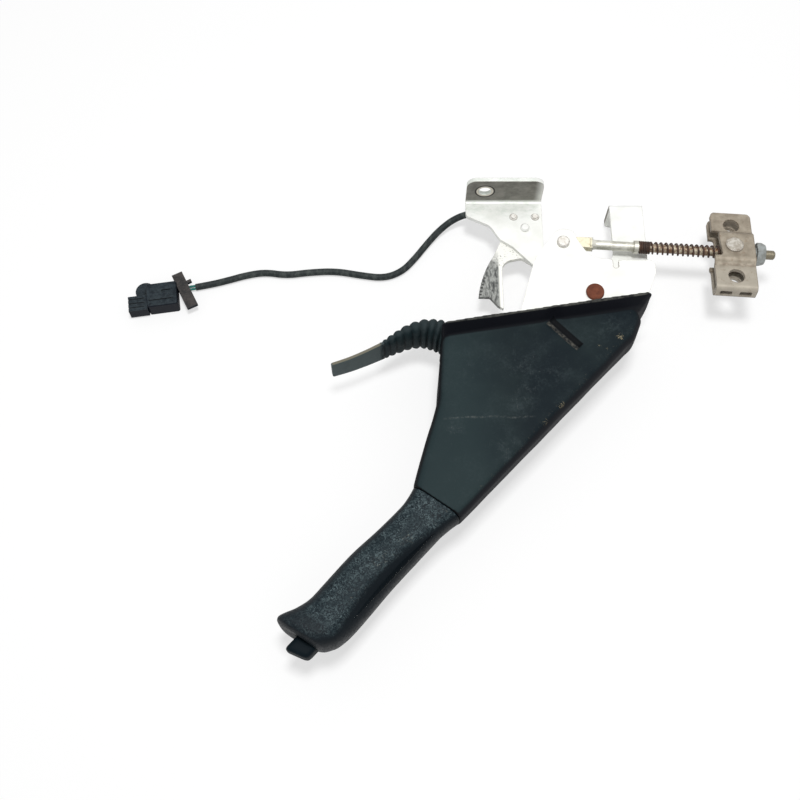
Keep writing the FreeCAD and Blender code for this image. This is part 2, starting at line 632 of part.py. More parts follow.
def boot_hull(distance):
    """Body of the boot: its outline in the plane met with its taper seen from the edge."""
    corners = inset(BOOT_BODY, distance)
    radii = [0, 4, 30, 0, 0, 12, 6, 0]
    plan = Part.Face(wire(rounded([(x, y, radius) for (x, y), radius in zip(corners, radii)])))
    plan = plan.extrude(UP * sheet.flange_width)
    wide = sheet.boot_width / 2 - distance
    narrow = sheet.boot_taper / 2 - distance
    middle = sheet.middle_height
    taper = [on_arm(-190.0, 0, middle - wide), on_arm(-95.0, 0, middle - wide),
             on_arm(20.0, 0, middle - narrow), on_arm(20.0, 0, middle + narrow),
             on_arm(-95.0, 0, middle + wide), on_arm(-190.0, 0, middle + wide)]
    side = Part.Face(Part.makePolygon(taper + taper[:1]))
    side.translate(ARM_ACROSS * -120)
    side = side.extrude(ARM_ACROSS * 240)
    return plan.common(side)


def boot():
    radius = 6.5
    outer = boot_hull(0.0)
    long_edges = [edge for edge in outer.Edges if long_rim(edge)]
    outer = outer.makeFillet(radius, long_edges)
    inner = boot_hull(sheet.boot_wall)
    long_edges = [edge for edge in inner.Edges if long_rim(edge)]
    inner = inner.makeFillet(radius - sheet.boot_wall, long_edges)
    line = FLANGE_RIGHT - FLANGE_LEFT
    out = Vector(-line.y, line.x, 0).normalize()
    half = sheet.flange_width / 2
    along = Vector(line).normalize()
    left = Vector(-101.8, -34.8, 0) - out * 2.0
    right = Vector(26.4, -14.6, 0) - out * 2.0
    flange = Part.makeLoft([
        cut_corner_section(FLANGE_LEFT, FLANGE_RIGHT, half, 3.0),
        cut_corner_section(FLANGE_LEFT - out * 1.6, FLANGE_RIGHT - out * 1.6, half, 3.0),
        cut_corner_section(left + along * 0.8, right - along * 0.8, sheet.boot_width / 2 - 0.7,
                           3.0)], True, True)
    rim_left = FLANGE_LEFT + along * FLANGE_WALL
    rim_right = FLANGE_RIGHT - along * FLANGE_WALL
    mouth = Part.makeLoft([
        cut_corner_section(rim_left + out * 2, rim_right + out * 2, half - FLANGE_WALL, 2.5),
        cut_corner_section(rim_left - out * 0.3, rim_right - out * 0.3, half - FLANGE_WALL, 2.5),
        cut_corner_section(left + out * 1.8 + along * 2.8, right + out * 1.8 - along * 1.9,
                           sheet.boot_width / 2 - 0.7 - 0.44 * FLANGE_WALL, 2.5),
        cut_corner_section(left - out * 2 + along * 2.8, right - out * 2 - along * 3.2,
                           sheet.boot_width / 2 - sheet.boot_wall, 2.5)], True, True)
    beyond = block_across_flange(FLANGE_LEFT, FLANGE_RIGHT, out)
    passage = channel_space(-60.0, 30.0)
    shell = outer.fuse([flange]).cut(beyond).cut(mouth).cut(inner).cut(passage)
    shell = shell.fuse(tail()).removeSplitter()
    slot = [(-33.0, -27.5, 1.4), (-29.5, -24.0, 1.4), (-13.0, -41.0, 1.4), (-16.5, -44.5, 1.4)]
    recess = Part.Face(wire(rounded(slot))).extrude(UP * 4)
    recess.translate(UP * (sheet.middle_height + sheet.boot_width / 2 - 1.2))
    shaped("boot", shell.cut(recess))


def long_rim(edge):
    """Edges that run round the top and the underside of the boot's body."""
    middle = sheet.middle_height
    points = [vertex.Point for vertex in edge.Vertexes]
    same_side = all(point.z > middle + 5 for point in points) or all(
        point.z < middle - 5 for point in points)
    mouth = all((point - FLANGE_LEFT).dot(Vector(-0.161, 0.987, 0)) > -4.6 for point in points)
    parting = all((point - on_arm(0, 0)).dot(ARM_ALONG) > -6 for point in points)
    return same_side and not mouth and not parting and edge.Length > 2


def block_across_flange(left, right, out):
    """Everything on the open side of the flange's rim."""
    along = (right - left).normalize()
    corners = [left - along * 30, right + along * 30, right + along * 30 + out * 60,
               left - along * 30 + out * 60]
    face = Part.Face(Part.makePolygon(corners + corners[:1]))
    return face.extrude(UP * sheet.flange_width)


TAIL_LINE = [(-99.5, -28.2), (-112.0, -25.6), (-121.5, -26.6), (-130.5, -30.4), (-138.5, -35.8)]
TAIL_TIP = (-172.0, -49.6)
RIDGES = 8


def tail():
    """Thin ribbon on edge: ridges in the bellows first, then a plain strap."""
    points = [Vector(x, y, 0) for x, y in TAIL_LINE]
    curve = Part.BSplineCurve()
    curve.interpolate(points)
    thickness = sheet.tail_thickness / 2
    upper = []
    lower = []
    steps = 2 * RIDGES
    first, last = curve.FirstParameter, curve.LastParameter
    for step in range(steps + 1):
        parameter = first + (last - first) * step / steps
        here = curve.value(parameter)
        along = curve.tangent(parameter)[0]
        across = Vector(-along.y, along.x, 0)
        swing = 1.5 if step % 2 else -1.5
        if step in (0, steps):
            swing = 0
        upper.append(here + across * (swing + thickness))
        lower.append(here + across * (swing - thickness))
    tip = Vector(*TAIL_TIP, 0)
    along = (tip - points[-1]).normalize()
    across = Vector(-along.y, along.x, 0)
    upper.append(tip + across * thickness)
    lower.append(tip - across * thickness)
    outline = upper + lower[::-1]
    ribbon = Part.Face(Part.makePolygon(outline + outline[:1])).extrude(UP * sheet.flange_width)
    middle = sheet.middle_height
    profile = [(-98.0, 17.0), (-138.5, 12.0), (-172.6, 9.0), (-174.0, 7.5), (-174.0, -7.5),
               (-172.6, -9.0), (-138.5, -12.0), (-98.0, -17.0)]
    corners = [Vector(x, -80, middle + z) for x, z in profile]
    band = Part.Face(Part.makePolygon(corners + corners[:1])).extrude(Vector(0, 100, 0))
    return ribbon.common(band)


# Pull rod: eye on its pin, cranked flat, shank, collar and thread
def tension_rod():
    middle = sheet.rod_height
    half = sheet.eye_thickness / 2
    bend = on_rod(-13.0)
    along = (bend - ROD_PIN).normalize()
    side = Vector(-along.y, along.x, 0) * 4.1
    rod_side = Vector(-ROD_ALONG.y, ROD_ALONG.x, 0) * 4.1
    neck = on_rod(1.0)
    flat = [ROD_PIN - side, bend - (side + rod_side) / 2, neck - rod_side, neck + rod_side,
            bend + (side + rod_side) / 2, ROD_PIN + side]
    bar = Part.Face(Part.makePolygon(flat + flat[:1])).extrude(UP * sheet.eye_thickness)
    eye = Part.makeCylinder(7.4, sheet.eye_thickness, ROD_PIN)
    bore = Part.makeCylinder(sheet.rod_pin / 2 + sheet.fit, sheet.eye_thickness, ROD_PIN)
    flat_end = bar.fuse(eye).cut(bore)
    flat_end.translate(UP * (middle - half))
    shank_end = sheet.collar_start + sheet.collar_length
    shank = Part.makeCylinder(sheet.rod_shank / 2, sheet.collar_start + 1, on_rod(0, middle),
                              ROD_ALONG)
    neck_cone = Part.makeCone(4.1, sheet.rod_shank / 2, 4.0, on_rod(-1.0, middle), ROD_ALONG)
    slab = Part.makeBox(60, 60, sheet.eye_thickness + 1.5,
                        Vector(-30, 10, middle - half - 0.75))
    neck_cone = neck_cone.common(slab)
    collar = Part.makeCylinder(sheet.spring_diameter / 2, sheet.collar_length,
                               on_rod(sheet.collar_start, middle), ROD_ALONG)
    thread = Part.makeCylinder(sheet.rod_thread / 2, sheet.rod_length - shank_end + 1,
                               on_rod(shank_end - 1, middle), ROD_ALONG)
    end_edge = [edge for edge in thread.Edges if edge.Length < 25 and
                (edge.BoundBox.Center - on_rod(sheet.rod_length, middle)).Length < 0.1]
    thread = thread.makeChamfer(0.8, end_edge)
    shaped("tension_rod", flat_end.fuse([neck_cone, shank, collar, thread]).removeSplitter())


# Anti-rattle spring between the rod's collar and the trunnion
def rod_spring():
    dead = 3.0
    wire_size = sheet.spring_wire
    start = sheet.collar_start + sheet.collar_length + wire_size / 2 + 0.05
    end = sheet.trunnion_place - sheet.trunnion_diameter / 2 - wire_size / 2 - 0.15
    close = wire_size * 1.02
    turns = 15.0
    pitch = (end - start - close * dead) / turns
    coil("rod_spring", sheet.spring_diameter / 2 - wire_size / 2, wire_size, pitch, turns,
         PIVOT + on_rod(start, sheet.rod_height), ROD_ALONG, dead)


# Cable equalizer: folded sheet on a trunnion, turned a little about the pull rod
def equalizer_frame():
    """Placement whose X runs along the pull rod and whose Y runs to the open end."""
    turn = Rotation(UP, sheet.rod_angle).multiply(
        Rotation(Vector(1, 0, 0), -sheet.equalizer_roll))
    return Placement(PIVOT + on_rod(sheet.trunnion_place, sheet.rod_height), turn)


def equalizer():
    body = doc.addObject("PartDesign::Body", "equalizer")
    body.Label = "equalizer"
    body.Placement = equalizer_frame()
    sheet_size = sheet.equalizer_sheet
    far = sheet.equalizer_far
    near = -sheet.equalizer_near
    low, high = 5.6, 8.4
    outer = [(far, low, 0.6), (13.5, low, 4), (10.5, high, 4), (-11.5, high, 4), (-14.5, low, 4),
             (near, low, 3.4), (near, -low, 3.4), (-14.5, -low, 4), (-11.5, -high, 4),
             (10.5, -high, 4), (13.5, -low, 4), (far, -low, 0.6)]
    inner_low = low - sheet_size
    inner_high = high - sheet_size
    inner_near = near + sheet_size
    inner = [(far, -inner_low, 0), (14.6, -inner_low, 1.5), (11.6, -inner_high, 1.5),
             (-12.6, -inner_high, 1.5), (-15.6, -inner_low, 1.5), (inner_near, -inner_low, 0.9),
             (inner_near, inner_low, 0.9), (-15.6, inner_low, 1.5), (-12.6, inner_high, 1.5),
             (11.6, inner_high, 1.5), (14.6, inner_low, 1.5), (far, inner_low, 0)]
    outline = rounded(outer + inner)
    profile = new_sketch(body, "folded_sheet", outline, "YZ_Plane")
    strip = pad(body, profile, "Sizes.equalizer_width")
    strip.Midplane = True
    half = sheet.equalizer_width / 2
    holes = [circle(Vector(0, 19.2, 0), sheet.cable_hole),
             circle(Vector(0, -24.0, 0), sheet.cable_hole),
             circle(Vector(0, 0, 0), 8.0 + 2 * sheet.fit)]
    pocket(body, new_sketch(body, "cable_holes", holes))
    notch = rounded([(-half - 2, 13.6, 0), (-half - 2, -9.0, 0), (-half + 5.5, -9.0, 2),
                     (-half + 4.0, 7.0, 2), (-half + 4.5, 13.6, 2)])
    pocket(body, new_sketch(body, "spring_notch", notch))
    slots = rounded([(-10.5, -1.9, 1.2), (-2.5, -1.9, 1.2), (-2.5, 1.9, 1.2), (-10.5, 1.9, 1.2)])
    slots += rounded([(2.5, -1.9, 1.2), (10.5, -1.9, 1.2), (10.5, 1.9, 1.2), (2.5, 1.9, 1.2)])
    end = new_sketch(body, "end_slots", slots, "XZ_Plane", "Sizes.equalizer_near - 5")
    pocket(body, end, "10", True)
    rounds = rounded([(-half - 1, far - 4.0, 0), (-half, far - 4.0, 0), (-half, far, 4.0),
                      (-half + 4.0, far, 0), (-half + 4.0, far + 1, 0), (-half - 1, far + 1, 0)])
    pocket(body, new_sketch(body, "left_corner", rounds))
    rounds = rounded([(half + 1, far - 4.0, 0), (half, far - 4.0, 0), (half, far, 4.0),
                      (half - 4.0, far, 0), (half - 4.0, far + 1, 0), (half + 1, far + 1, 0)])
    pocket(body, new_sketch(body, "right_corner", rounds))


def trunnion():
    barrel = sheet.trunnion_diameter / 2
    inner = 8.4 - sheet.equalizer_sheet - sheet.gap
    outer = 8.4 + sheet.gap
    profile = [(0, -outer - 1.3), (5.2, -outer - 1.3), (6.0, -outer - 0.6), (6.0, -outer),
               (4.0, -outer), (4.0, -inner), (barrel, -inner), (barrel, inner), (4.0, inner),
               (4.0, outer), (6.0, outer), (6.0, outer + 0.6), (5.2, outer + 1.3),
               (0, outer + 1.3)]
    face = Part.Face(wire(rounded([(radius, height, 0) for radius, height in profile])))
    face.rotate(Vector(0, 0, 0), Vector(1, 0, 0), 90)
    solid = face.revolve(Vector(0, 0, 0), UP, 360)
    bore = Part.makeCylinder(sheet.rod_thread / 2 + sheet.fit, 20, Vector(-10, 0, 0),
                             Vector(1, 0, 0))
    feature = doc.addObject("Part::Feature", "trunnion")
    feature.Label = "trunnion"
    feature.Shape = solid.cut(bore)
    feature.Placement = equalizer_frame()


# Adjusting nut: hexagon with chamfers and a collar that reaches the trunnion
def adjusting_nut():
    start = sheet.trunnion_place + sheet.trunnion_diameter / 2 + 0.15
    hexagon_start = sheet.trunnion_place + sheet.equalizer_width / 2 + 2.2
    flats = sheet.nut_flats / 2
    corner = flats / math.cos(math.pi / 6)
    ring = [polar(corner, 60 * side + 12) for side in range(6)]
    hexagon = Part.Face(Part.makePolygon(ring + ring[:1])).extrude(UP * sheet.nut_height)
    chamfer = Part.makeCone(flats + 2.6, flats - 0.6, sheet.nut_height + 1.0, UP * -0.2)
    hexagon = hexagon.common(chamfer)
    hexagon.translate(UP * (hexagon_start - start))
    collar = Part.makeCylinder(4.8, hexagon_start - start + 1)
    bore = Part.makeCylinder(sheet.rod_thread / 2 + sheet.fit, 60, UP * -5)
    nut = hexagon.fuse(collar).cut(bore).removeSplitter()
    feature = doc.addObject("Part::Feature", "adjusting_nut")
    feature.Label = "adjusting_nut"
    feature.Shape = nut
    place = PIVOT + on_rod(start, sheet.rod_height)
    feature.Placement = Placement(place, Rotation(UP, ROD_ALONG))


# Warning light switch under the bracket, pressed by the ear of the released lever
SWITCH_ANGLE = 236.0
SWITCH_MIDDLE = Vector(-44.0, 58.0, 0)
SWITCH_HEIGHT = 15.0
PLUNGER_REACH = 20.0


def switch_parts():
    turn = Rotation(UP, SWITCH_ANGLE)
    top = SECTOR_BOTTOM
    bottom = SWITCH_HEIGHT - 4.6
    outline = rounded([(-12, -6.5, 2), (12, -6.5, 2), (12, 6.5, 2), (-12, 6.5, 2)])
    case = Part.Face(wire(outline)).extrude(UP * (top - bottom))
    case.translate(UP * bottom)
    neck = Part.makeCylinder(3.9, 5.0, Vector(11.5, 0, SWITCH_HEIGHT), Vector(1, 0, 0))
    place = Placement(SWITCH_MIDDLE, turn)
    first, second = (place.inverse().multVec(Vector(*point)) for point in LEAD_ROUTE[:2])
    gland = Part.makeCylinder(3.4, 5.0, first, first - second)
    bore = Part.makeCylinder(2.0 + 0.1, 40, Vector(0.5, 0, SWITCH_HEIGHT), Vector(1, 0, 0))
    screw_place = turn.inverted().multVec(SWITCH_SCREW - SWITCH_MIDDLE)
    screw_bore = Part.makeCylinder(1.75, top - bottom - 2, Vector(screw_place.x, screw_place.y,
                                                                bottom + 2))
    case = case.fuse([neck, gland]).cut(bore).cut(screw_bore)
    feature = doc.addObject("Part::Feature", "switch_body")
    feature.Label = "switch_body"
    feature.Shape = case
    feature.Placement = Placement(PIVOT + SWITCH_MIDDLE, turn)
    plunger = Part.makeCylinder(2.0, PLUNGER_REACH + 7.0, Vector(4.6, 0, SWITCH_HEIGHT),
                                Vector(1, 0, 0))
    tip = Part.makeSphere(2.0, Vector(11.6 + PLUNGER_REACH, 0, SWITCH_HEIGHT))
    feature = doc.addObject("Part::Feature", "switch_plunger")
    feature.Label = "switch_plunger"
    feature.Shape = plunger.fuse(tip).removeSplitter()
    feature.Placement = Placement(PIVOT + SWITCH_MIDDLE, turn)
    screw = [(0, bottom + 4.0), (1.7, bottom + 4.0), (1.7, BASE_TOP), (3.2, BASE_TOP),
             (3.2, BASE_TOP + 1.0), (2.2, BASE_TOP + 1.9), (0, BASE_TOP + 1.9)]
    turned("switch_screw", screw, SWITCH_SCREW)


# Switch lead: sheath from the switch under the bracket and over the floor to the connector
LEAD_ROUTE = [
    (-48.0, 69.1, 15.0), (-56.7, 75.0, 15.0), (-67.0, 79.8, 14.6), (-79.0, 81.6, 12.4),
    (-90.5, 79.0, 8.4), (-101.0, 71.6, 4.6), (-110.0, 61.2, 2.5), (-118.0, 50.0, 2.4),
    (-127.0, 39.6, 2.4), (-139.5, 34.2, 2.4), (-155.5, 36.2, 2.4), (-174.0, 39.8, 2.4),
    (-193.0, 38.8, 2.4), (-209.0, 36.4, 2.4), (-224.0, 38.9, 2.4), (-237.5, 36.4, 2.4),
    (-250.5, 32.2, 2.4), (-262.0, 29.0, 2.4), (-272.5, 26.9, 2.4),
]


def lead():
    points = [Vector(*point) for point in LEAD_ROUTE]
    edges = []
    here = points[0]
    smallest = 1e9
    for before, corner, after in zip(points, points[1:], points[2:]):
        back = before - corner
        forth = after - corner
        half_turn = (math.pi - back.getAngle(forth)) / 2
        reach = 0.45 * min(back.Length, forth.Length)
        radius = reach / math.tan(half_turn)
        smallest = min(smallest, radius)
        start = corner + back.normalize() * reach
        end = corner + forth.normalize() * reach
        toward = (back + forth).normalize()
        middle = corner + toward * (radius / math.cos(half_turn) - radius)
        edges.append(Part.LineSegment(here, start).toShape())
        edges.append(Part.Arc(start, middle, end).toShape())
        here = end
        print(f"lead radius at {corner.x:.0f}, {corner.y:.0f}: {radius:.1f} mm")
    edges.append(Part.LineSegment(here, points[-1]).toShape())
    path = Part.Wire(edges)
    length = path.Length
    section = Part.Wire(Part.Circle(points[0], points[1] - points[0],
                                    sheet.lead_diameter / 2).toShape())
    solid = path.makePipeShell([section], True, True)
    volume = math.pi * (sheet.lead_diameter / 2) ** 2 * length
    print(f"lead length {length:.1f} mm, smallest radius {smallest:.1f} mm,"
          f" volume {solid.Volume:.0f} against {volume:.0f}")
    shaped("lead", solid)


# Connector on the lead: housing, plug end, round clip and locking plate
CONNECTOR_PLACE = Vector(-292.5, 17.0, 0)
CONNECTOR_ANGLE = 8.5


def connector_parts():
    turn = Rotation(UP, CONNECTOR_ANGLE)
    place = Placement(PIVOT + CONNECTOR_PLACE, turn)

    def put(label, shape):
        feature = doc.addObject("Part::Feature", label)
        feature.Label = label
        feature.Shape = shape
        feature.Placement = place

    outline = rounded([(-12, -9, 1.5), (9, -9, 1.5), (9, 9, 1.5), (-12, 9, 1.5)])
    housing = Part.Face(wire(outline)).extrude(UP * 12)
    top = [edge for edge in housing.Edges
           if all(abs(vertex.Z - 12) < 0.01 for vertex in edge.Vertexes)]
    housing = housing.makeFillet(1.2, top)
    window = Part.makeBox(6.5, 2.6, 2.0, Vector(-1.5, 0.4, 10.8))
    rib = Part.makeBox(16, 1.4, 1.2, Vector(-10.5, -4.6, 12.0))
    housing = housing.cut(window).fuse(rib).removeSplitter()
    put("connector_housing", housing)
    plug = Part.makeBox(13.0, 11.5, 9.0, Vector(-25.0, -10.0, 1.2))
    for step in range(3):
        groove = Part.makeBox(11.0, 1.1, 1.0, Vector(-25.0, -8.0 + 3.2 * step, 9.4))
        plug = plug.cut(groove)
    socket = Part.makeBox(8.0, 8.0, 5.5, Vector(-25.0, -8.2, 3.0))
    put("connector_plug", plug.cut(socket))
    disc = Part.makeCylinder(6.8, 4.0, Vector(-13.6, 7.2, 1.0))
    stalk = Part.makeBox(4.5, 6.0, 5.0, Vector(-18.2, 1.6, 1.0))
    plug_side = Part.makeBox(16.0, 14.0, 14.0, Vector(-26.0, -12.4, -1.0))
    disc = disc.cut(plug_side)
    cut = Part.makeBox(12.0, 20.0, 14.0, Vector(-12.0, -10.0, -0.5))
    put("round_clip", disc.fuse(stalk).cut(cut).removeSplitter())
    plate = Part.makeBox(29.0, 7.6, 2.6, Vector(-14.5, -3.8, 6.2))
    foot = Part.makeBox(16.0, 4.2, 6.2, Vector(-5.5, -3.8, 0))
    hook = Part.makeBox(2.2, 3.6, 2.4, Vector(-6.2, 3.4, 6.4))
    clip = plate.fuse([foot, hook]).removeSplitter()
    clip.rotate(Vector(0, 0, 0), UP, -71.5)
    clip.translate(Vector(14.2, 2.4, 0))
    clip = clip.cut(Part.makeBox(9.6, 18.0, 14.0, Vector(-0.6, -9.0, -1.0)))
    put("locking_plate", clip)
    end = Vector(*LEAD_ROUTE[-1])
    run = (end - Vector(*LEAD_ROUTE[-2])).normalize()
    across = run.cross(UP)
    wires = [Part.makeCylinder(sheet.wire_diameter / 2, 6.6, end + across * (1.1 * side), run)
             for side in (-1, 1)]
    shaped("lead_wires", Part.makeCompound(wires))


base_bracket()
ratchet_sector()
sector_rivets()
pivot_parts()
lever_channel()
rod_pin_parts()
pawl_parts()
release_parts()
grip()
boot()
tension_rod()
rod_spring()
equalizer()
trunnion()
adjusting_nut()
switch_parts()
lead()
connector_parts()
doc.recompute()

faults = []
pieces = []
for item in doc.Objects:
    if "Invalid" in item.State or "Error" in item.State:
        faults.append(f"{item.Name} {item.State}")
    if item.TypeId in ("PartDesign::Body", "Part::Feature"):
        pieces.append(item)
for piece in pieces:
    if piece.Shape.isNull() or not piece.Shape.isValid() or not piece.Shape.Solids:
        faults.append(f"{piece.Label} has no valid solid")
if faults:
    raise RuntimeError("; ".join(faults))
for piece in pieces:
    piece.Shape.exportStep(f"parts/{piece.Label}.step")
box = FreeCAD.BoundBox()
for piece in pieces:
    if piece.Label not in ("lead", "lead_wires", "connector_housing", "connector_plug",
                           "round_clip", "locking_plate"):
        box.add(piece.Shape.BoundBox)
print(f"{len(pieces)} pieces, X {box.XMin:.2f} {box.XMax:.2f}, Y {box.YMin:.2f} {box.YMax:.2f},"
      f" Z {box.ZMin:.2f} {box.ZMax:.2f}")
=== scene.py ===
"""Looks of the handbrake lever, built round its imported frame: finishes, soft pieces and light."""
import json
import math

import bpy
import bmesh
import numpy as np
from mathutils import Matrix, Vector, noise


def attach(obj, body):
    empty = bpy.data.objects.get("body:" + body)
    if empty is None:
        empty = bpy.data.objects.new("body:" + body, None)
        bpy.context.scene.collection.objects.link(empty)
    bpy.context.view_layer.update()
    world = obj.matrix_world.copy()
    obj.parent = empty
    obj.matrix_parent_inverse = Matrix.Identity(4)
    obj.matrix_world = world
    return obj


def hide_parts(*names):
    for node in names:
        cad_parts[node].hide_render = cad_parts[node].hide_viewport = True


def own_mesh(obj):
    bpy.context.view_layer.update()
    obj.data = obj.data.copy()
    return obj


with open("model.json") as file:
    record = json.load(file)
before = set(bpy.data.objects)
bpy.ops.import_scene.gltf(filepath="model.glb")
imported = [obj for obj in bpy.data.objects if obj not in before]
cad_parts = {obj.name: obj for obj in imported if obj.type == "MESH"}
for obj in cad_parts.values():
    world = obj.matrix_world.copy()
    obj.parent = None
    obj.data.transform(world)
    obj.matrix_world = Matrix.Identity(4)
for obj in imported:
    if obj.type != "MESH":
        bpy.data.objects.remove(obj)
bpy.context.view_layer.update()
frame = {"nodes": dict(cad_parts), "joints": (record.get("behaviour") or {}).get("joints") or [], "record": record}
NODES = frame["nodes"]
JOINTS = {joint["name"]: joint for joint in frame["joints"]}
MM = 0.001
METRE = 1000.0
UP = Vector((0, 0, 1))

# The pivot in the row frame; other places are in millimetres about it, heights from the floor
PIVOT = Vector(JOINTS["lever_pivot"]["pos_m"])
PIVOT.z = 0
MIDDLE = 31.0
ARM_ANGLE = math.radians(227.3)
ARM_ALONG = Vector((math.cos(ARM_ANGLE), math.sin(ARM_ANGLE), 0))
ARM_ACROSS = Vector((math.sin(ARM_ANGLE), -math.cos(ARM_ANGLE), 0))
ARM_START = Vector((-106.2, -144.2, 0))
ROD_ANGLE = math.radians(-4.0)
ROD_ALONG = Vector((math.cos(ROD_ANGLE), math.sin(ROD_ANGLE), 0))
ROD_ACROSS = Vector((-ROD_ALONG.y, ROD_ALONG.x, 0))
ROD_NECK = Vector((2.1, 43.0, 33.5))


def at(x, y, z):
    """Point in the row frame from millimetres about the lever's pivot."""
    return PIVOT + Vector((x, y, z)) * MM


def on_arm(along, across, height=MIDDLE):
    """Point in the row frame, along and across the lever arm from the grip's parting."""
    place = ARM_START + ARM_ALONG * along + ARM_ACROSS * across
    return at(place.x, place.y, height)


# Shader writing: sockets that take Python's operators, and one way to add a node
class Socket:
    """Output of a shader node; arithmetic on it adds Math nodes."""

    def __init__(self, tree, output):
        self.tree = tree
        self.output = output

    def math(self, operation, first, second):
        return self.tree.node("ShaderNodeMath", {"operation": operation}, {0: first, 1: second})

    def __add__(self, other):
        return self.math("ADD", self, other)

    def __sub__(self, other):
        return self.math("SUBTRACT", self, other)

    def __rsub__(self, other):
        return self.math("SUBTRACT", other, self)

    def __mul__(self, other):
        return self.math("MULTIPLY", self, other)

    def __truediv__(self, other):
        return self.math("DIVIDE", self, other)

    def __pow__(self, other):
        return self.math("POWER", self, other)

    __radd__ = __add__
    __rmul__ = __mul__

    def least(self, other):
        return self.math("MINIMUM", self, other)

    def most(self, other):
        return self.math("MAXIMUM", self, other)

    def step(self, low, high):
        """0 below low, 1 above high, smooth between; high below low turns it round."""
        settings = {"interpolation_type": "SMOOTHSTEP"}
        return self.tree.node("ShaderNodeMapRange", settings,
                              {"Value": self, "From Min": low, "From Max": high})


# Places of the colour sockets on a Mix node
MIX_FACTOR, MIX_FIRST, MIX_SECOND, MIX_RESULT = 0, 6, 7, 2


class Tree:
    """A node tree, written as expressions."""

    def __init__(self, tree):
        self.nodes = tree.nodes
        self.links = tree.links

    def node(self, kind, settings=None, inputs=None, output=0):
        """New node from its type, its settings and the values or links of its sockets."""
        added = self.nodes.new(kind)
        for key, value in (settings or {}).items():
            setattr(added, key, value)
        for key, value in (inputs or {}).items():
            self.join(value, added.inputs[key])
        return Socket(self, added.outputs[output])

    def join(self, value, target):
        """Links a socket to the target, or sets the target's own value."""
        if isinstance(value, Socket):
            self.links.new(value.output, target)
        elif isinstance(value, (tuple, list, Vector)) and len(value) == 3 and target.type == "RGBA":
            target.default_value = (*value, 1.0)
        else:
            target.default_value = value

    def measure(self, operation, first, second):
        """Number that Vector Math gives for two vectors."""
        return self.node("ShaderNodeVectorMath", {"operation": operation}, {0: first, 1: second},
                         "Value")


class Look(Tree):
    """A finish: a material with one Principled shader."""

    def __init__(self, name):
        self.material = bpy.data.materials.new(name)
        self.material.use_nodes = True
        super().__init__(self.material.node_tree)
        self.shader = self.nodes["Principled BSDF"]
        self.place = self.node("ShaderNodeTexCoord", output="Object")
        self.normal = self.node("ShaderNodeNewGeometry", output="Normal")

    def noise(self, size, detail=3.0, roughness=0.55, stretch=None, distortion=0.0):
        """Noise from 0 to 1 whose blots are about size millimetres across."""
        place = self.place
        if stretch:
            place = self.node("ShaderNodeMapping", {}, {"Vector": place, "Scale": stretch})
        return self.node("ShaderNodeTexNoise", {},
                         {"Vector": place, "Scale": METRE / size, "Detail": detail,
                          "Roughness": roughness, "Distortion": distortion})

    def pebbles(self, size):
        """Soft cells about size millimetres across."""
        return self.node("ShaderNodeTexVoronoi", {"feature": "SMOOTH_F1"},
                         {"Vector": self.place, "Scale": METRE / size}, "Distance")

    def along(self, direction, start):
        """Millimetres along a direction from a point in the row frame."""
        direction = Vector(direction).normalized()
        dot = self.measure("DOT_PRODUCT", self.place, direction)
        return dot * METRE - direction.dot(Vector(start)) * METRE

    def near(self, point, radius, soft):
        """1 near a point in the row frame, 0 beyond radius millimetres."""
        away = self.measure("DISTANCE", self.place, Vector(point))
        return (away * METRE).step(radius, radius * soft)

    def facing(self, direction):
        """How far the surface faces a direction, from -1 to 1."""
        return self.measure("DOT_PRODUCT", self.normal, Vector(direction))

    def blend(self, factor, first, second):
        """Colour mix; factor 0 gives the first."""
        return self.node("ShaderNodeMix", {"data_type": "RGBA"},
                         {MIX_FACTOR: factor, MIX_FIRST: first, MIX_SECOND: second}, MIX_RESULT)

    def rounded(self, radius):
        """Normal of the surface with edges rounded by radius millimetres."""
        return self.node("ShaderNodeBevel", {"samples": 4}, {"Radius": radius * MM})

    def edges(self, radius, low, high):
        """1 where the surface turns sharply within radius millimetres."""
        return (1 - self.measure("DOT_PRODUCT", self.rounded(radius), self.normal)).step(low, high)

    def bump(self, height, depth, strength, round_edges=0.0):
        """Bump from a height of 0 to 1 that is depth millimetres deep."""
        inputs = {"Height": height, "Distance": depth * MM, "Strength": strength}
        if round_edges:
            inputs["Normal"] = self.rounded(round_edges)
        self.join(self.node("ShaderNodeBump", {}, inputs), self.shader.inputs["Normal"])

    def finish(self, **values):
        """Sets the shader's sockets; an underscore stands for a space."""
        for key, value in values.items():
            self.join(value, self.shader.inputs[key.replace("_", " ")])
        return self.material


def srgb(red, green, blue):
    """Linear colour from 0 to 255 values."""
    linear = []
    for value in (red, green, blue):
        share = value / 255
        linear.append(share / 12.92 if share <= 0.04045 else ((share + 0.055) / 1.055) ** 2.4)
    return tuple(linear)


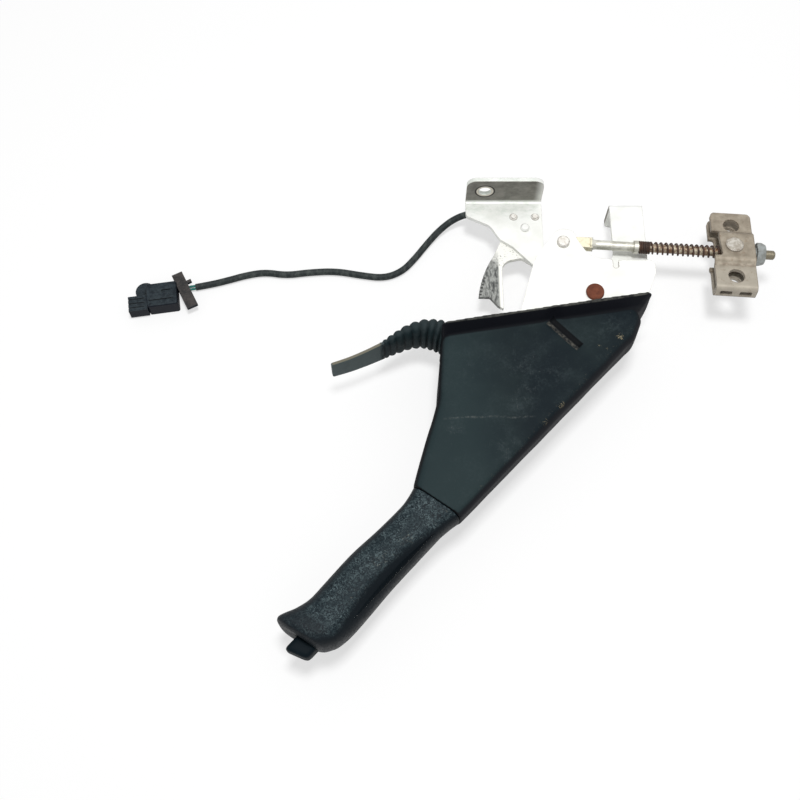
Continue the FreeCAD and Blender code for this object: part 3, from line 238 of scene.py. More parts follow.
# Finishes
def zinc():
    """Bright dull zinc: patina, painted shade on the front foot's inner face and on the rear foot's left lip,
    dirty edges.
    """
    look = Look("dull_zinc")
    cloud = look.noise(14, 4)
    fine = look.noise(1.6, 3)
    colour = look.blend(cloud.step(0.3, 0.75), srgb(240, 241, 238), srgb(226, 227, 222))
    shelf = look.along((0, 1, 0), at(0, 62, 0)).step(2, 16)
    shelf = shelf * look.along((-1, 0, 0), at(-28, 0, 0)).step(0, 8)
    patina = look.noise(6, 7, 0.75, (0.8, 1.6, 1)).step(0.42, 0.62)
    colour = look.blend(shelf * (0.15 + 0.5 * patina), colour, srgb(196, 204, 194))
    # Painted shade: the front foot's inner face, which faces -Y, is darkened to a blotchy grey.
    inner_face_shade = look.facing((0, -1, 0)).step(0.55, 0.8) * shelf
    inner_face_shade = inner_face_shade * look.along(UP, at(0, 0, 26)).step(0, 2)
    blots = look.noise(8, 7, 0.75, (0.7, 1, 1)).step(0.35, 0.7)
    shade_tone = look.blend(blots, srgb(136, 134, 127), srgb(98, 96, 90))
    colour = look.blend(inner_face_shade, colour, shade_tone)
    hole = at(-69.6, 82.9, 38.0)
    washer = look.near(hole, 6.0, 0.97)
    colour = look.blend(look.near(hole, 7.2, 0.97) * inner_face_shade, colour, srgb(38, 34, 30))
    colour = look.blend(washer * inner_face_shade, colour, srgb(214, 208, 196))
    # Painted shade: the rear foot's left lip is darkened.
    lip_shading = look.facing((-1, 0, 0)).step(0.6, 0.9) * look.near(at(18.7, 79, 9), 16, 0.8)
    colour = look.blend(lip_shading, colour, srgb(92, 86, 76))
    specks = look.noise(1.1, 4, 0.7).step(0.66, 0.72) * look.noise(22, 2).step(0.5, 0.62)
    colour = look.blend(specks * 0.75, colour, srgb(70, 62, 52))
    edge = look.edges(0.55, 0.01, 0.12)
    pale = look.near(at(-36, 42, 25), 26, 0.7) * 0.85
    dirt = edge * (0.45 + 0.5 * fine.step(0.35, 0.65)) * (1 - pale)
    colour = look.blend(dirt, colour, srgb(150, 142, 124))
    hook = look.near(at(15.6, 21.5, 44), 5.5, 0.6) * look.edges(0.9, 0.01, 0.1)
    colour = look.blend(hook * 0.9, colour, srgb(112, 88, 66))
    look.bump(fine + cloud * 0.6, 0.05, 0.5, 0.3)
    rough = 0.42 + 0.2 * fine
    return look.finish(Base_Color=colour, Metallic=0.35, Roughness=rough)


def sector_steel():
    """Plate that fades from bright zinc to dark brushed steel at the teeth."""
    look = Look("brushed_sector")
    streaks = look.noise(3.2, 7, 0.75, (1.5, 0.5, 1))
    fine = look.noise(0.9, 3)
    worn = look.noise(5, 5, 0.7)
    dark = look.blend(streaks.step(0.36, 0.64), srgb(52, 54, 54), srgb(158, 160, 156))
    fall = look.along((0, -1, 0), at(0, 47, 0)) + (worn - 0.5) * 26
    outer = look.along((-1, 0, 0), at(-59.9, 0, 0)).step(0.0, 1.6)
    mask = fall.step(0, 17) * outer
    colour = look.blend(mask, srgb(232, 232, 226), dark)
    rim = look.edges(0.45, 0.01, 0.12)
    colour = look.blend(rim * 0.85, colour, srgb(34, 30, 27))
    specks = look.noise(1.3, 4, 0.7).step(0.6, 0.66) * fall.step(-14, 4) * (1 - fall.step(8, 22))
    colour = look.blend(specks, colour, srgb(40, 36, 30))
    look.bump(streaks + fine * 0.5, 0.06, 0.6, 0.25)
    return look.finish(Base_Color=colour, Metallic=0.4, Roughness=0.36 + 0.25 * streaks)


def plain_metal(name, light, dark, spots, edge, metallic, rough, worn):
    """Clouded metal with spots, worn says how strong, and dirty edges."""
    look = Look(name)
    cloud = look.noise(5, 4)
    fine = look.noise(0.9, 3)
    colour = look.blend(cloud.step(0.35, 0.7), light, dark)
    colour = look.blend(look.noise(2.2, 4).step(0.58, 0.72) * worn, colour, spots)
    colour = look.blend(look.edges(0.5, 0.01, 0.15) * 0.75, colour, edge)
    look.bump(fine + cloud * 0.5, 0.06, 0.7, 0.25)
    return look.finish(Base_Color=colour, Metallic=metallic, Roughness=rough + 0.25 * fine)


def rod_steel():
    """Worn zinc rod: cream flattened eye, rust between the spring's coils."""
    look = Look("worn_zinc_rod")
    cloud = look.noise(4, 4)
    fine = look.noise(0.8, 3)
    colour = look.blend(cloud.step(0.35, 0.7), srgb(214, 213, 204), srgb(176, 174, 162))
    place = look.along(ROD_ALONG, at(*ROD_NECK))
    eye = 1 - place.step(-0.5, 0.8)
    cream = look.blend(look.noise(2, 3).step(0.5, 0.75), srgb(232, 226, 200), srgb(196, 184, 150))
    colour = look.blend(eye, colour, cream)
    threaded = place.step(31.5, 33) * (1 - place.step(104, 106))
    rust = look.noise(3, 5, 0.7).step(0.38, 0.62)
    rusty = look.blend(rust, srgb(176, 168, 148), srgb(104, 74, 52))
    colour = look.blend(threaded, colour, rusty)
    colour = look.blend(place.step(112, 114), colour, srgb(122, 115, 98))
    colour = look.blend(look.edges(0.5, 0.01, 0.15) * 0.8, colour, srgb(84, 76, 62))
    look.bump(fine + cloud * 0.4, 0.06, 0.7, 0.25)
    return look.finish(Base_Color=colour, Metallic=0.55, Roughness=0.34 + 0.22 * fine)


def equalizer_steel():
    """Worn zinc over brown steel, paler towards the folded end, painted shade at the bends and on faces that turn
    down, dirty edges.
    """
    look = Look("worn_equalizer")
    cloud = look.noise(6, 4)
    fine = look.noise(0.8, 3)
    colour = look.blend(cloud.step(0.3, 0.75), srgb(164, 154, 138), srgb(132, 122, 107))
    near_end = look.along((0, -1, 0), at(97, 26, 0)).step(0, 9)
    colour = look.blend(near_end * 0.6, colour, srgb(176, 170, 157))
    # Painted shade: broken dark lines along the two bends of the raised middle.
    for bend in (13.0, -14.0):
        across_bend = look.along((0.07, 0.997, 0), at(97, 36.4 + bend, 0))
        bend_shade = across_bend.step(-1.6, -0.2) * across_bend.step(1.6, 0.2)
        bend_shade = bend_shade * look.noise(3, 5, 0.7).step(0.3, 0.6)
        colour = look.blend(bend_shade * 0.55, colour, srgb(92, 76, 60))
    brown = look.noise(3.2, 5, 0.7).step(0.55, 0.7)
    colour = look.blend(brown * 0.5, colour, srgb(124, 100, 78))
    dirt = look.edges(1.1, 0.01, 0.2) * (0.35 + 0.6 * look.noise(2.5, 4).step(0.4, 0.6))
    colour = look.blend(dirt, colour, srgb(88, 70, 54))
    # Painted shade: faces that turn down are darkened.
    downward_shade = 1 - look.facing(UP).step(-0.4, 0.15)
    colour = look.blend(downward_shade * 0.75, colour, srgb(72, 62, 52))
    pits = look.noise(0.9, 4, 0.7).step(0.62, 0.68)
    colour = look.blend(pits * 0.6, colour, srgb(86, 76, 64))
    look.bump(fine + cloud * 0.6 - pits * 0.5, 0.08, 0.8, 0.5)
    return look.finish(Base_Color=colour, Metallic=0.3, Roughness=0.46 + 0.22 * fine)


def rivet_steel():
    """Pale domed heads with a faintly mottled face and a ring of painted shade round the rim."""
    look = Look("rivet_head")
    speck = look.noise(2.4, 4, 0.7)
    colour = look.blend(speck.step(0.42, 0.68), srgb(236, 234, 228), srgb(206, 200, 190))
    # Painted shade: the dark ring round the head's rim.
    colour = look.blend(look.edges(0.7, 0.01, 0.1), colour, srgb(84, 78, 72))
    look.bump(speck, 0.08, 0.8, 0.4)
    return look.finish(Base_Color=colour, Metallic=0.25, Roughness=0.44 + 0.2 * speck)


def trunnion_steel():
    """Hammered trunnion head: pale and grey brown blots, a dark ring."""
    look = Look("worn_trunnion")
    blot = look.noise(3.0, 6, 0.75)
    colour = look.blend(blot.step(0.38, 0.6), srgb(203, 199, 190), srgb(162, 154, 141))
    colour = look.blend(look.edges(0.9, 0.01, 0.15), colour, srgb(92, 72, 58))
    look.bump(blot, 0.2, 0.9, 0.4)
    return look.finish(Base_Color=colour, Metallic=0.25, Roughness=0.48 + 0.15 * blot)


def rusty_head():
    """Riveted pivot head: blotchy red rust with a dark ring."""
    look = Look("rusted_pivot")
    fine = look.noise(0.8, 4, 0.7)
    cloud = look.noise(3.5, 4)
    colour = look.blend(cloud.step(0.3, 0.7), srgb(122, 70, 50), srgb(98, 54, 39))
    colour = look.blend(fine.step(0.55, 0.7) * 0.6, colour, srgb(74, 42, 31))
    colour = look.blend(look.edges(0.9, 0.01, 0.2), colour, srgb(50, 36, 31))
    look.bump(fine + cloud * 0.5, 0.12, 0.9, 0.4)
    return look.finish(Base_Color=colour, Roughness=0.72 + 0.15 * fine, Specular_IOR_Level=0.25)


def scuffed_plastic(name, colour, scuffed, rough=0.5, sheen=0.2):
    """Fine grained plastic with scuffs of another colour, also on its edges."""
    look = Look(name)
    fine = look.noise(0.7, 3)
    scuffs = look.noise(9, 6, 0.7).step(0.55, 0.72)
    mixed = look.blend(scuffs * 0.5, colour, scuffed)
    mixed = look.blend(look.edges(0.4, 0.01, 0.15) * 0.5, mixed, scuffed)
    look.bump(fine, 0.05, 0.8, 0.3)
    return look.finish(Base_Color=mixed, Roughness=rough + 0.15 * scuffs, Specular_IOR_Level=sheen)


def connector_moulding(name, dusty, plain):
    """Blue black moulding with dust and rubbed spots on top."""
    look = Look(name)
    up = look.facing(UP).step(0.5, 0.9)
    blot = look.noise(3.5, 6, 0.75)
    dust = look.blend(blot.step(0.35, 0.65), dusty, plain)
    colour = look.blend(up, srgb(9, 15, 25), dust)
    rub = look.noise(1.2, 6, 0.8).step(0.58, 0.7)
    colour = look.blend(rub * up * 0.5, colour, srgb(96, 98, 96))
    colour = look.blend(look.edges(0.4, 0.01, 0.15) * 0.6, colour, srgb(84, 88, 88))
    look.bump(blot, 0.08, 0.8, 0.3)
    return look.finish(Base_Color=colour, Roughness=0.45 + 0.2 * blot, Specular_IOR_Level=0.12)


# Scuffs on the boot, and wear and painted highlight on the grip: x, y about the pivot, height, radius
CREAM_SCUFFS = [(-1.7, -42.6, 51, 3.2), (3.2, -45.0, 51, 2.6), (12.5, -36.3, 51, 5.4),
                (-27.3, -84.2, 50, 6.0), (-38.1, -95.1, 50, 5.0), (20.5, -20.0, 51, 2.5)]
GREY_SCUFFS = [(-54.4, -51.3, 52, 17), (-46.2, -67.1, 51, 15), (-51.9, -83.2, 51, 17),
               (-94.6, -99.6, 50, 12), (6.0, -30.0, 52, 16), (-84.0, -60.0, 52, 15),
               (-62.0, -112.0, 50, 20), (-30.0, -62.0, 51, 14)]
GRIP_WEAR_AND_HIGHLIGHT = [(-126.2, -168.1, 46, 8), (-135.7, -179.1, 46, 10), (-142.2, -184.5, 46, 9),
             (-108.8, -158.2, 46, 6), (-101.5, -152.2, 47, 6), (-118.0, -172.0, 46, 14),
             (-150.0, -204.0, 46, 16)]
# Slot recess in the boot's upper face: its middle and its two directions
SLOT_MIDDLE = (-23.0, -34.2, 50.0)
SLOT_ALONG = Vector((0.696, -0.718, 0))
SLOT_ACROSS = Vector((0.718, 0.696, 0))
# Outer line of the boot's flange: its left end and the direction away from the boot
FLANGE_END = (-102.0, -30.3, 0.0)
FLANGE_OUT = (-0.161, 0.987, 0.0)


def spots(look, places):
    """1 near any of the places, each with its own radius."""
    total = 0.0
    for x, y, height, radius in places:
        total = look.near(at(x, y, height), radius, 0.15) + total
    return total.least(1.0)


def boot_moulding():
    """Near black moulding with a fine grain, dusty scuffs and scratches on its upper face; painted shade on its
    flanks, under the flange and in the slot, a painted highlight along the flange's top rim.
    """
    look = Look("boot_moulding")
    grain = look.noise(0.55, 2)
    cloud = look.noise(34, 3)
    colour = look.blend(cloud.step(0.3, 0.72), srgb(19, 28, 33), srgb(31, 41, 43))
    left = look.along((-1, -0.1, 0), at(-48, -75, 0)).step(0, 46)
    colour = look.blend(left * 0.6, colour, srgb(42, 56, 58))
    # Painted shade: faces that do not face up are near black; the upper face keeps the moulding's tone.
    up = look.facing(UP).step(0.6, 0.95)
    colour = look.blend(up, srgb(13, 14, 17), colour)
    rim = look.along(FLANGE_OUT, at(*FLANGE_END)).step(-6.2, -5.0)
    face = up * (1 - rim)
    grey = spots(look, GREY_SCUFFS) * look.noise(11, 5, 0.7, None, 1.2).step(0.4, 0.62)
    fine = look.noise(1.6, 8, 0.8)
    haze = (look.noise(18, 5, 0.7) * 0.5 + grey * 0.1 + fine * 0.55).step(0.5, 0.84)
    colour = look.blend(haze * face * 0.6, colour, srgb(62, 72, 75))
    scratch = (look.noise(1.5, 6, 0.8, (2.4, 0.7, 1), 0.6) + grey * 0.09).step(0.62, 0.78)
    cross = (look.noise(1.4, 6, 0.8, (0.7, 2.4, 1), 0.6) + grey * 0.09).step(0.64, 0.8)
    colour = look.blend((scratch + cross) * face * 0.5, colour, srgb(98, 102, 102))
    line = look.along((0, 1, 0), at(0, -91.4, 0)) + (look.noise(14, 3) - 0.5) * 4
    level = line.step(-1.1, -0.1) * (1 - line.step(0.1, 1.1)) * face
    span = look.along((1, 0, 0), at(-104, 0, 0)).step(0, 10)
    span = span * (1 - look.along((1, 0, 0), at(-52, 0, 0)).step(0, 9))
    broken = look.noise(2.0, 6, 0.75).step(0.42, 0.62)
    colour = look.blend(level * span * broken * 0.4, colour, srgb(104, 108, 106))
    smears = look.noise(1.7, 8, 0.85, (1.0, 1.6, 1), 0.8)
    cream = (smears + spots(look, CREAM_SCUFFS) * 0.19).step(0.69, 0.74)
    colour = look.blend(cream * face * 0.9, colour, srgb(178, 166, 134))
    low_edge = look.along(ARM_ACROSS * -1, on_arm(0, -11.5)).step(0, 5) * face
    rubbed = look.noise(2.2, 8, 0.82, (1, 1.7, 1), 1.0).step(0.56, 0.68) * low_edge
    colour = look.blend(rubbed * 0.5, colour, srgb(118, 112, 98))
    edge = look.edges(0.9, 0.01, 0.16)
    chafed = edge * look.noise(2.2, 5, 0.7).step(0.35, 0.65)
    colour = look.blend(chafed * 0.6, colour, srgb(78, 80, 78))
    # Painted light: the flank that faces lower right is a little lighter than the other flanks.
    side = (1 - up) * look.facing((0.735, -0.678, 0)).step(0.3, 0.6)
    colour = look.blend(side * 0.8, colour, srgb(27, 29, 33))
    # Painted shade: the underside of the flange's rim is darkened.
    under_flange_shade = rim * (1 - edge)
    colour = look.blend(under_flange_shade * 0.85, colour, srgb(12, 14, 20))
    # Painted highlight: a broken pale line along the flange's top rim.
    lip_shading = look.along(UP, at(0, 0, 61.0)).step(0, 0.5) * look.noise(6, 5, 0.7).step(0.3, 0.6)
    colour = look.blend(lip_shading * 0.7, colour, srgb(90, 90, 85))
    tip = look.near(at(48, -8, 56), 20, 0.3) * rim
    colour = look.blend(tip * 0.6, colour, srgb(62, 64, 68))
    slot_along = look.along(SLOT_ALONG, at(*SLOT_MIDDLE))
    slot_across = look.along(SLOT_ACROSS, at(*SLOT_MIDDLE))
    inside = slot_along.step(-13.6, -12.8) * slot_along.step(13.6, 12.8)
    inside = inside * slot_across.step(-3.6, -3.0) * slot_across.step(3.6, 3.0)
    inside = inside * look.along(UP, at(0, 0, 42)).step(0, 1)
    # Slot recess: mottled ledge tones, with its far half painted near black as shade.
    slot_ledge_and_shade = look.blend(look.noise(2.4, 7, 0.8).step(0.42, 0.66), srgb(30, 33, 35), srgb(88, 86, 80))
    slot_ledge_and_shade = look.blend(slot_across.step(-0.9, -0.2), slot_ledge_and_shade, srgb(4, 6, 9))
    colour = look.blend(inside, colour, slot_ledge_and_shade)
    look.bump(grain + haze * 0.5, 0.05, 0.8, 0.35)
    return look.finish(Base_Color=colour, Roughness=0.6 + 0.16 * haze, Specular_IOR_Level=0.07)


def tail_rubber():
    """Soft dull rubber: painted shade in the bellows' valleys, a painted highlight on their crests, a paler strap.
    """
    look = Look("tail_rubber")
    grain = look.noise(0.6, 3)
    cloud = look.noise(6, 4)
    place = look.along((-1, 0, 0), at(-141, 0, 0))
    strap = place.step(-1.0, 1.0)
    colour = look.blend(strap, srgb(26, 38, 41), srgb(82, 93, 94))
    colour = look.blend(cloud.step(0.45, 0.75) * 0.4, colour, srgb(66, 72, 74))
    top = look.facing(UP).step(0.5, 0.9)
    colour = look.blend(top * strap * 0.8, colour, srgb(122, 116, 100))
    colour = look.blend(top * (1 - strap) * 0.3, colour, srgb(66, 74, 76))
    bend = look.node("ShaderNodeNewGeometry", output="Pointiness")
    # Painted shade in the valleys and a painted highlight on the crests of the bellows, from how sharply the
    # surface bends.
    valley_shade, crest = bend.step(0.5, 0.42), bend.step(0.53, 0.62)
    colour = look.blend(valley_shade * (1 - strap) * 0.85, colour, srgb(8, 10, 12))
    colour = look.blend(crest * (1 - strap) * 0.7, colour, srgb(72, 82, 84))
    look.bump(grain, 0.05, 0.8)
    return look.finish(Base_Color=colour, Roughness=0.62, Specular_IOR_Level=0.08)


def grip_leather_grain():
    """Moulded leather grain: pebbles with fine creases, worn pale on top, pale spots of wear and painted highlight
    along the ridge, painted shade on the flank.
    """
    look = Look("grained_grip")
    warp = look.noise(5, 3)
    creases = look.noise(2.9, 6, 0.72, (1.5, 1.5, 1), 1.8)
    height = look.pebbles(1.35) * 0.7 + creases * 0.8
    bow = (look.along(ARM_ALONG, on_arm(55, 0)) / 50) ** 2
    # Painted shade: the flank below the ridge line and faces that do not face up take a darker tone than the upper
    # face.
    flank = look.along(ARM_ACROSS, on_arm(0, -4)) + bow * 9 + (creases - 0.5) * 7
    up = look.facing(UP).step(0.62, 0.95) * flank.step(-3.0, 1.5)
    base = look.blend(up, srgb(4, 13, 19), srgb(16, 30, 36))
    raised = creases.step(0.47, 0.6)
    broad = look.noise(16, 3).step(0.35, 0.65)
    worn = (0.15 + 0.35 * warp.step(0.35, 0.65) + 0.4 * broad) * raised * up
    colour = look.blend(worn.least(0.85), base, srgb(92, 106, 109))
    low = creases.step(0.47, 0.36) * up
    colour = look.blend(low * 0.8, colour, srgb(8, 11, 14))
    # Pale spots along the ridge: partly wear, partly a painted highlight.
    bright = (look.noise(1.5, 8, 0.82) + spots(look, GRIP_WEAR_AND_HIGHLIGHT) * 0.075).step(0.64, 0.72) * up
    colour = look.blend(bright * 0.7, colour, srgb(150, 151, 140))
    end = look.along(ARM_ALONG, on_arm(98, 0)).step(0, 8)
    colour = look.blend(end * 0.6, colour, srgb(17, 23, 28))
    look.bump(height * (0.3 + 0.7 * up), 0.34, 0.9)
    return look.finish(Base_Color=colour, Roughness=0.46 + 0.2 * raised, Specular_IOR_Level=0.12)


def sheath():
    """Lead sheath: soft, dusty, with shallow waves round it."""
    look = Look("dusty_sheath")
    waves = look.noise(3.2, 3, 0.6, (1.2, 0.5, 1))
    fine = look.noise(0.7, 3)
    colour = look.blend(waves.step(0.4, 0.72), srgb(28, 35, 36), srgb(62, 68, 66))
    look.bump(waves + fine * 0.3, 0.35, 0.9)
    return look.finish(Base_Color=colour, Roughness=0.5 + 0.2 * fine, Specular_IOR_Level=0.25)


FINISHES = {
    "zinc_steel": zinc(),
    "oiled_steel": sector_steel(),
    "rusty_steel": rusty_head(),
    "rod_steel": rod_steel(),
    "spring_steel": plain_metal("rusted_spring", srgb(78, 52, 40), srgb(50, 36, 31),
                                srgb(116, 72, 48), srgb(34, 26, 22), 0.25, 0.5, 0.6),
    "equalizer_steel": equalizer_steel(),
    "boot_plastic": boot_moulding(),
    "grip_plastic": grip_leather_grain(),
    "button_plastic": scuffed_plastic("button_moulding", srgb(6, 17, 23), srgb(28, 42, 50), 0.6,
                                      0.08),
    "switch_plastic": connector_moulding("connector_moulding", srgb(48, 57, 62), srgb(22, 29, 35)),
    "lead_sheath": sheath(),
    "wire_colour": scuffed_plastic("green_wire", srgb(40, 112, 104), srgb(60, 130, 120)),
    "white_plastic": scuffed_plastic("white_moulding", srgb(205, 200, 188), srgb(180, 172, 158)),
}
TAIL_FINISH = tail_rubber()
RIVET_FINISH = rivet_steel()
# Nodes whose finish differs from that of their slot
OWN_FINISHES = {
    "locking_plate": connector_moulding("plate_moulding", srgb(72, 68, 66), srgb(44, 44, 45)),
    "sector_rivets": RIVET_FINISH, "rod_pin": RIVET_FINISH, "trunnion": trunnion_steel(),
    "adjusting_nut": plain_metal("grey_nut", srgb(158, 163, 162), srgb(128, 130, 126),
                                 srgb(112, 100, 84), srgb(92, 88, 80), 0.35, 0.4, 0.4),
}


def dress_nodes():
    """Each CAD node gets its own finish or the one of its slot."""
    slots = {part["node"]: part["material_slot"] for part in frame["record"]["subparts"]}
    for name, node in NODES.items():
        node.data.materials.clear()
        node.data.materials.append(OWN_FINISHES.get(name) or FINISHES[slots[name]])


dress_nodes()

# Switch lead: free cord over the floor
LEAD_ROUTE = [
    (-48.0, 69.1, 15.0), (-56.7, 75.0, 15.0), (-67.0, 79.8, 14.6), (-79.0, 81.6, 12.4),
    (-90.5, 79.0, 8.4), (-101.0, 71.6, 4.6), (-110.0, 61.2, 2.5), (-118.0, 50.0, 2.4),
    (-127.0, 39.6, 2.4), (-139.5, 34.2, 2.4), (-155.5, 36.2, 2.4), (-174.0, 39.8, 2.4),
    (-193.0, 38.8, 2.4), (-209.0, 36.4, 2.4), (-224.0, 38.9, 2.4), (-237.5, 36.4, 2.4),
    (-250.5, 32.2, 2.4), (-262.0, 29.0, 2.4), (-272.5, 26.9, 2.4),
]
LEAD_RADIUS = 2.4


def make_lead():
    curve = bpy.data.curves.new("switch_lead", "CURVE")
    curve.dimensions = "3D"
    spline = curve.splines.new("NURBS")
    spline.points.add(len(LEAD_ROUTE) - 1)
    for point, place in zip(spline.points, LEAD_ROUTE):
        point.co = (*at(*place), 1.0)
    spline.order_u = 3
    spline.use_endpoint_u = True
    spline.resolution_u = 8
    curve.bevel_depth = LEAD_RADIUS * MM
    curve.bevel_resolution = 6
    curve.use_fill_caps = True
    lead = bpy.data.objects.new("switch_lead", curve)
    bpy.context.scene.collection.objects.link(lead)
    curve.materials.append(FINISHES["lead_sheath"])
    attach(lead, "base")
    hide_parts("lead")
    return lead


lead = make_lead()


# Mesh building
def lofted_piece(name, rings, body, slot, *replaced, closed=False, smooth=True, finish=None):
    """New piece between rings of points that rides on a body and takes its slot's finish."""
    mesh = bpy.data.meshes.new(name)
    mesh.from_pydata([point for ring in rings for point in ring], [], loft(rings, closed))
    mesh.update()
    shell = bmesh.new()
    shell.from_mesh(mesh)
    bmesh.ops.recalc_face_normals(shell, faces=shell.faces)
    shell.to_mesh(mesh)
    shell.free()
    return new_piece(name, mesh, body, slot, *replaced, smooth=smooth, finish=finish)


def new_piece(name, mesh, body, slot, *replaced, smooth=True, finish=None):
    mesh.materials.clear()
    mesh.materials.append(finish or FINISHES[slot])
    mesh.polygons.foreach_set("use_smooth", [smooth] * len(mesh.polygons))
    piece = bpy.data.objects.new(name, mesh)
    bpy.context.scene.collection.objects.link(piece)
    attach(piece, body)
    if replaced:
        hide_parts(*replaced)
    return piece


def loft(rings, closed):
    """Faces between rings; closed joins the last ring to the first, else both ends are filled."""
    count = len(rings[0])
    last = (len(rings) - 1) * count
    faces = []
    for row in range(len(rings) if closed else len(rings) - 1):
        here = row * count
        there = (row + 1) % len(rings) * count
        for column in range(count):
            beside = (column + 1) % count
            faces.append((here + column, here + beside, there + beside, there + column))
    return faces if closed else faces + [tuple(range(count)), tuple(range(last, last + count))]


def circle(count):
    """Cosine and sine for each of count points round a circle."""
    for index in range(count):
        turn = 2 * math.pi * index / count
        yield math.cos(turn), math.sin(turn)


def squarish(value, power):
    """Power that keeps the sign; below 1 it turns a circle squarish."""
    return math.copysign(abs(value) ** power, value)


def arm_rings(rings):
    """Rings of (along, across, height from the middle) on the arm as points in the row frame."""
    return [[on_arm(along, across, MIDDLE + height) for along, across, height in ring]
            for ring in rings]


def smooth_rows(rows, steps):
    """Rows of numbers joined by a smooth curve, with steps points for each gap."""
    result = []
    last = len(rows) - 1
    for index in range(last):
        a, b, c, d = (rows[min(max(index + shift, 0), last)] for shift in (-1, 0, 1, 2))
        for step in range(steps):
            t = step / steps
            result.append([
                0.5 * (2 * q + (r - p) * t + (2 * p - 5 * q + 4 * r - s) * t * t
                       + (3 * q - p - 3 * r + s) * t ** 3)
                for p, q, r, s in zip(a, b, c, d)])
    result.append(list(rows[-1]))
    return result


# Grip: leather grained sleeve, waisted, with a soft ridge and a flared end
GRIP_ROWS = [
    # along and across at the front edge, the same at the rear edge, half side, squareness
    (2.9, 17.2, -1.6, -17.2, 16.9, 4.2), (9.0, 15.9, 6.0, -15.7, 16.8, 3.6),
    (17.0, 15.2, 16.0, -14.6, 16.6, 3.2), (36.0, 15.8, 34.0, -14.2, 16.8, 2.9),
    (58.0, 17.3, 56.0, -14.4, 17.2, 2.8), (80.0, 16.8, 76.0, -15.4, 17.6, 2.8),
    (94.0, 16.4, 89.0, -15.8, 18.6, 2.9), (103.5, 18.4, 96.0, -15.6, 19.6, 3.1),
    (110.0, 21.2, 102.4, -14.6, 19.9, 3.2), (114.0, 22.6, 106.4, -12.8, 19.6, 3.2),
    (116.2, 21.8, 109.2, -11.0, 18.6, 3.1), (116.9, 19.8, 110.4, -9.6, 17.2, 3.0),
]
UNDERCUT = 0.0145
RIDGE_DROP = 0.30
RING_POINTS = 128


def grip_ring(front, high, rear, low, side, square):
    """One ring of the grip: squarish oval whose rear flank falls away from a ridge."""
    centre, half = (high + low) / 2, (high - low) / 2
    ridge = centre - 0.42 * half
    fade = min(max((front - 18) / 25, 0), 1) * min(max((108 - front) / 10, 0), 1)
    points = []
    for c, s in circle(RING_POINTS):
        across = centre + half * squarish(c, 2 / square)
        height = side * squarish(s, 2 / square)
        if across < ridge:
            height *= 1 - RIDGE_DROP * fade * (ridge - across) / half
        along = rear + (front - rear) * (across - low) / (high - low)
        share = min(max((34 - along) / 32, 0), 1) + 0.4 * min(max((along - 88) / 18, 0), 1)
        across += undercut(across, height) * share
        points.append((along, across, height))
    return points


def undercut(across, height):
    """How far the rounded underside draws in along the rear flank."""
    return UNDERCUT * max(0.0, 5.0 - height) ** 2 * min(max(-across / 10, 0), 1)


def box_ring(along, half_across, half_side, slant=0.0, shift=0.0):
    """Rectangular ring with as many points as a grip ring; shift is across and in height."""
    points = []
    for c, s in circle(RING_POINTS):
        reach = min(half_across / max(abs(c), 1e-6), half_side / max(abs(s), 1e-6))
        across = shift + reach * c
        points.append((along + slant * across, across, reach * s + shift))
    return points


# The grip's hollow from the button's mouth to the boot: along, half across, half side, slant, shift
GRIP_HOLLOW = [(112.6, 7.8, 7.7, 0.24), (108.8, 7.6, 7.4), (108.4, 8.6, 9.1), (97.2, 8.6, 9.1),
               (96.0, 11.3, 14.3, 0.0, -1.0), (0.2, 11.3, 14.3, 0.12, -1.0)]
FACE_SLANT = 0.30
LIP_MIDDLE = 0.3


def make_grip():
    rings = [grip_ring(*row) for row in smooth_rows(GRIP_ROWS, 12)]
    start, end = rings[0], rings[-1]
    middle = sum(point[1] for point in end) / RING_POINTS
    for share, out in ((0.86, 0.9), (0.7, 1.0), (0.5, 0.6)):
        rings.append([(along + out + (middle - across) * (1 - share) * FACE_SLANT,
                       middle + (across - middle) * share, height * share)
                      for along, across, height in end])
    rings += [box_ring(*row) for row in GRIP_HOLLOW]
    lips = [[(along + out, LIP_MIDDLE + (across - LIP_MIDDLE) * share, height * share)
             for along, across, height in start] for share, out in ((0.93, 0.5), (0.975, -0.75))]
    lofted_piece("grip_sleeve", arm_rings(lips + rings), "lever", "grip_plastic", "grip",
                 closed=True)


make_grip()


# Tail of the boot: soft round bellows, then a strap with a stepped upper edge
BELLOWS_ROWS = [
    # x, y, half height, half width
    (-98.2, -27.6, 15.4, 7.6), (-103.8, -25.6, 15.0, 7.2), (-112.0, -24.2, 14.0, 6.2),
    (-121.5, -26.0, 12.8, 5.0), (-130.5, -30.5, 11.6, 3.9), (-137.5, -34.7, 10.6, 2.8),
    (-141.8, -37.2, 10.2, 2.0),
]
RIDGES = 10
RIDGE_HEIGHT = 1.9
RIDGE_STEPS = 14
BELLOWS_POINTS = 48
STRAP_ROWS = [(-139.2, -36.0, 11.4), (-144.0, -38.4, 11.1), (-152.0, -42.3, 10.4),
              (-162.0, -46.6, 9.7), (-173.0, -50.4, 9.1)]
STRAP_HALF = 1.1


def frames_along(rows):
    """Each row with the direction square to the line, in the plane."""
    for index, row in enumerate(rows):
        ahead = rows[min(index + 1, len(rows) - 1)]
        behind = rows[max(index - 1, 0)]
        run = Vector((ahead[0] - behind[0], ahead[1] - behind[1], 0)).normalized()
        yield row, Vector((-run.y, run.x, 0))


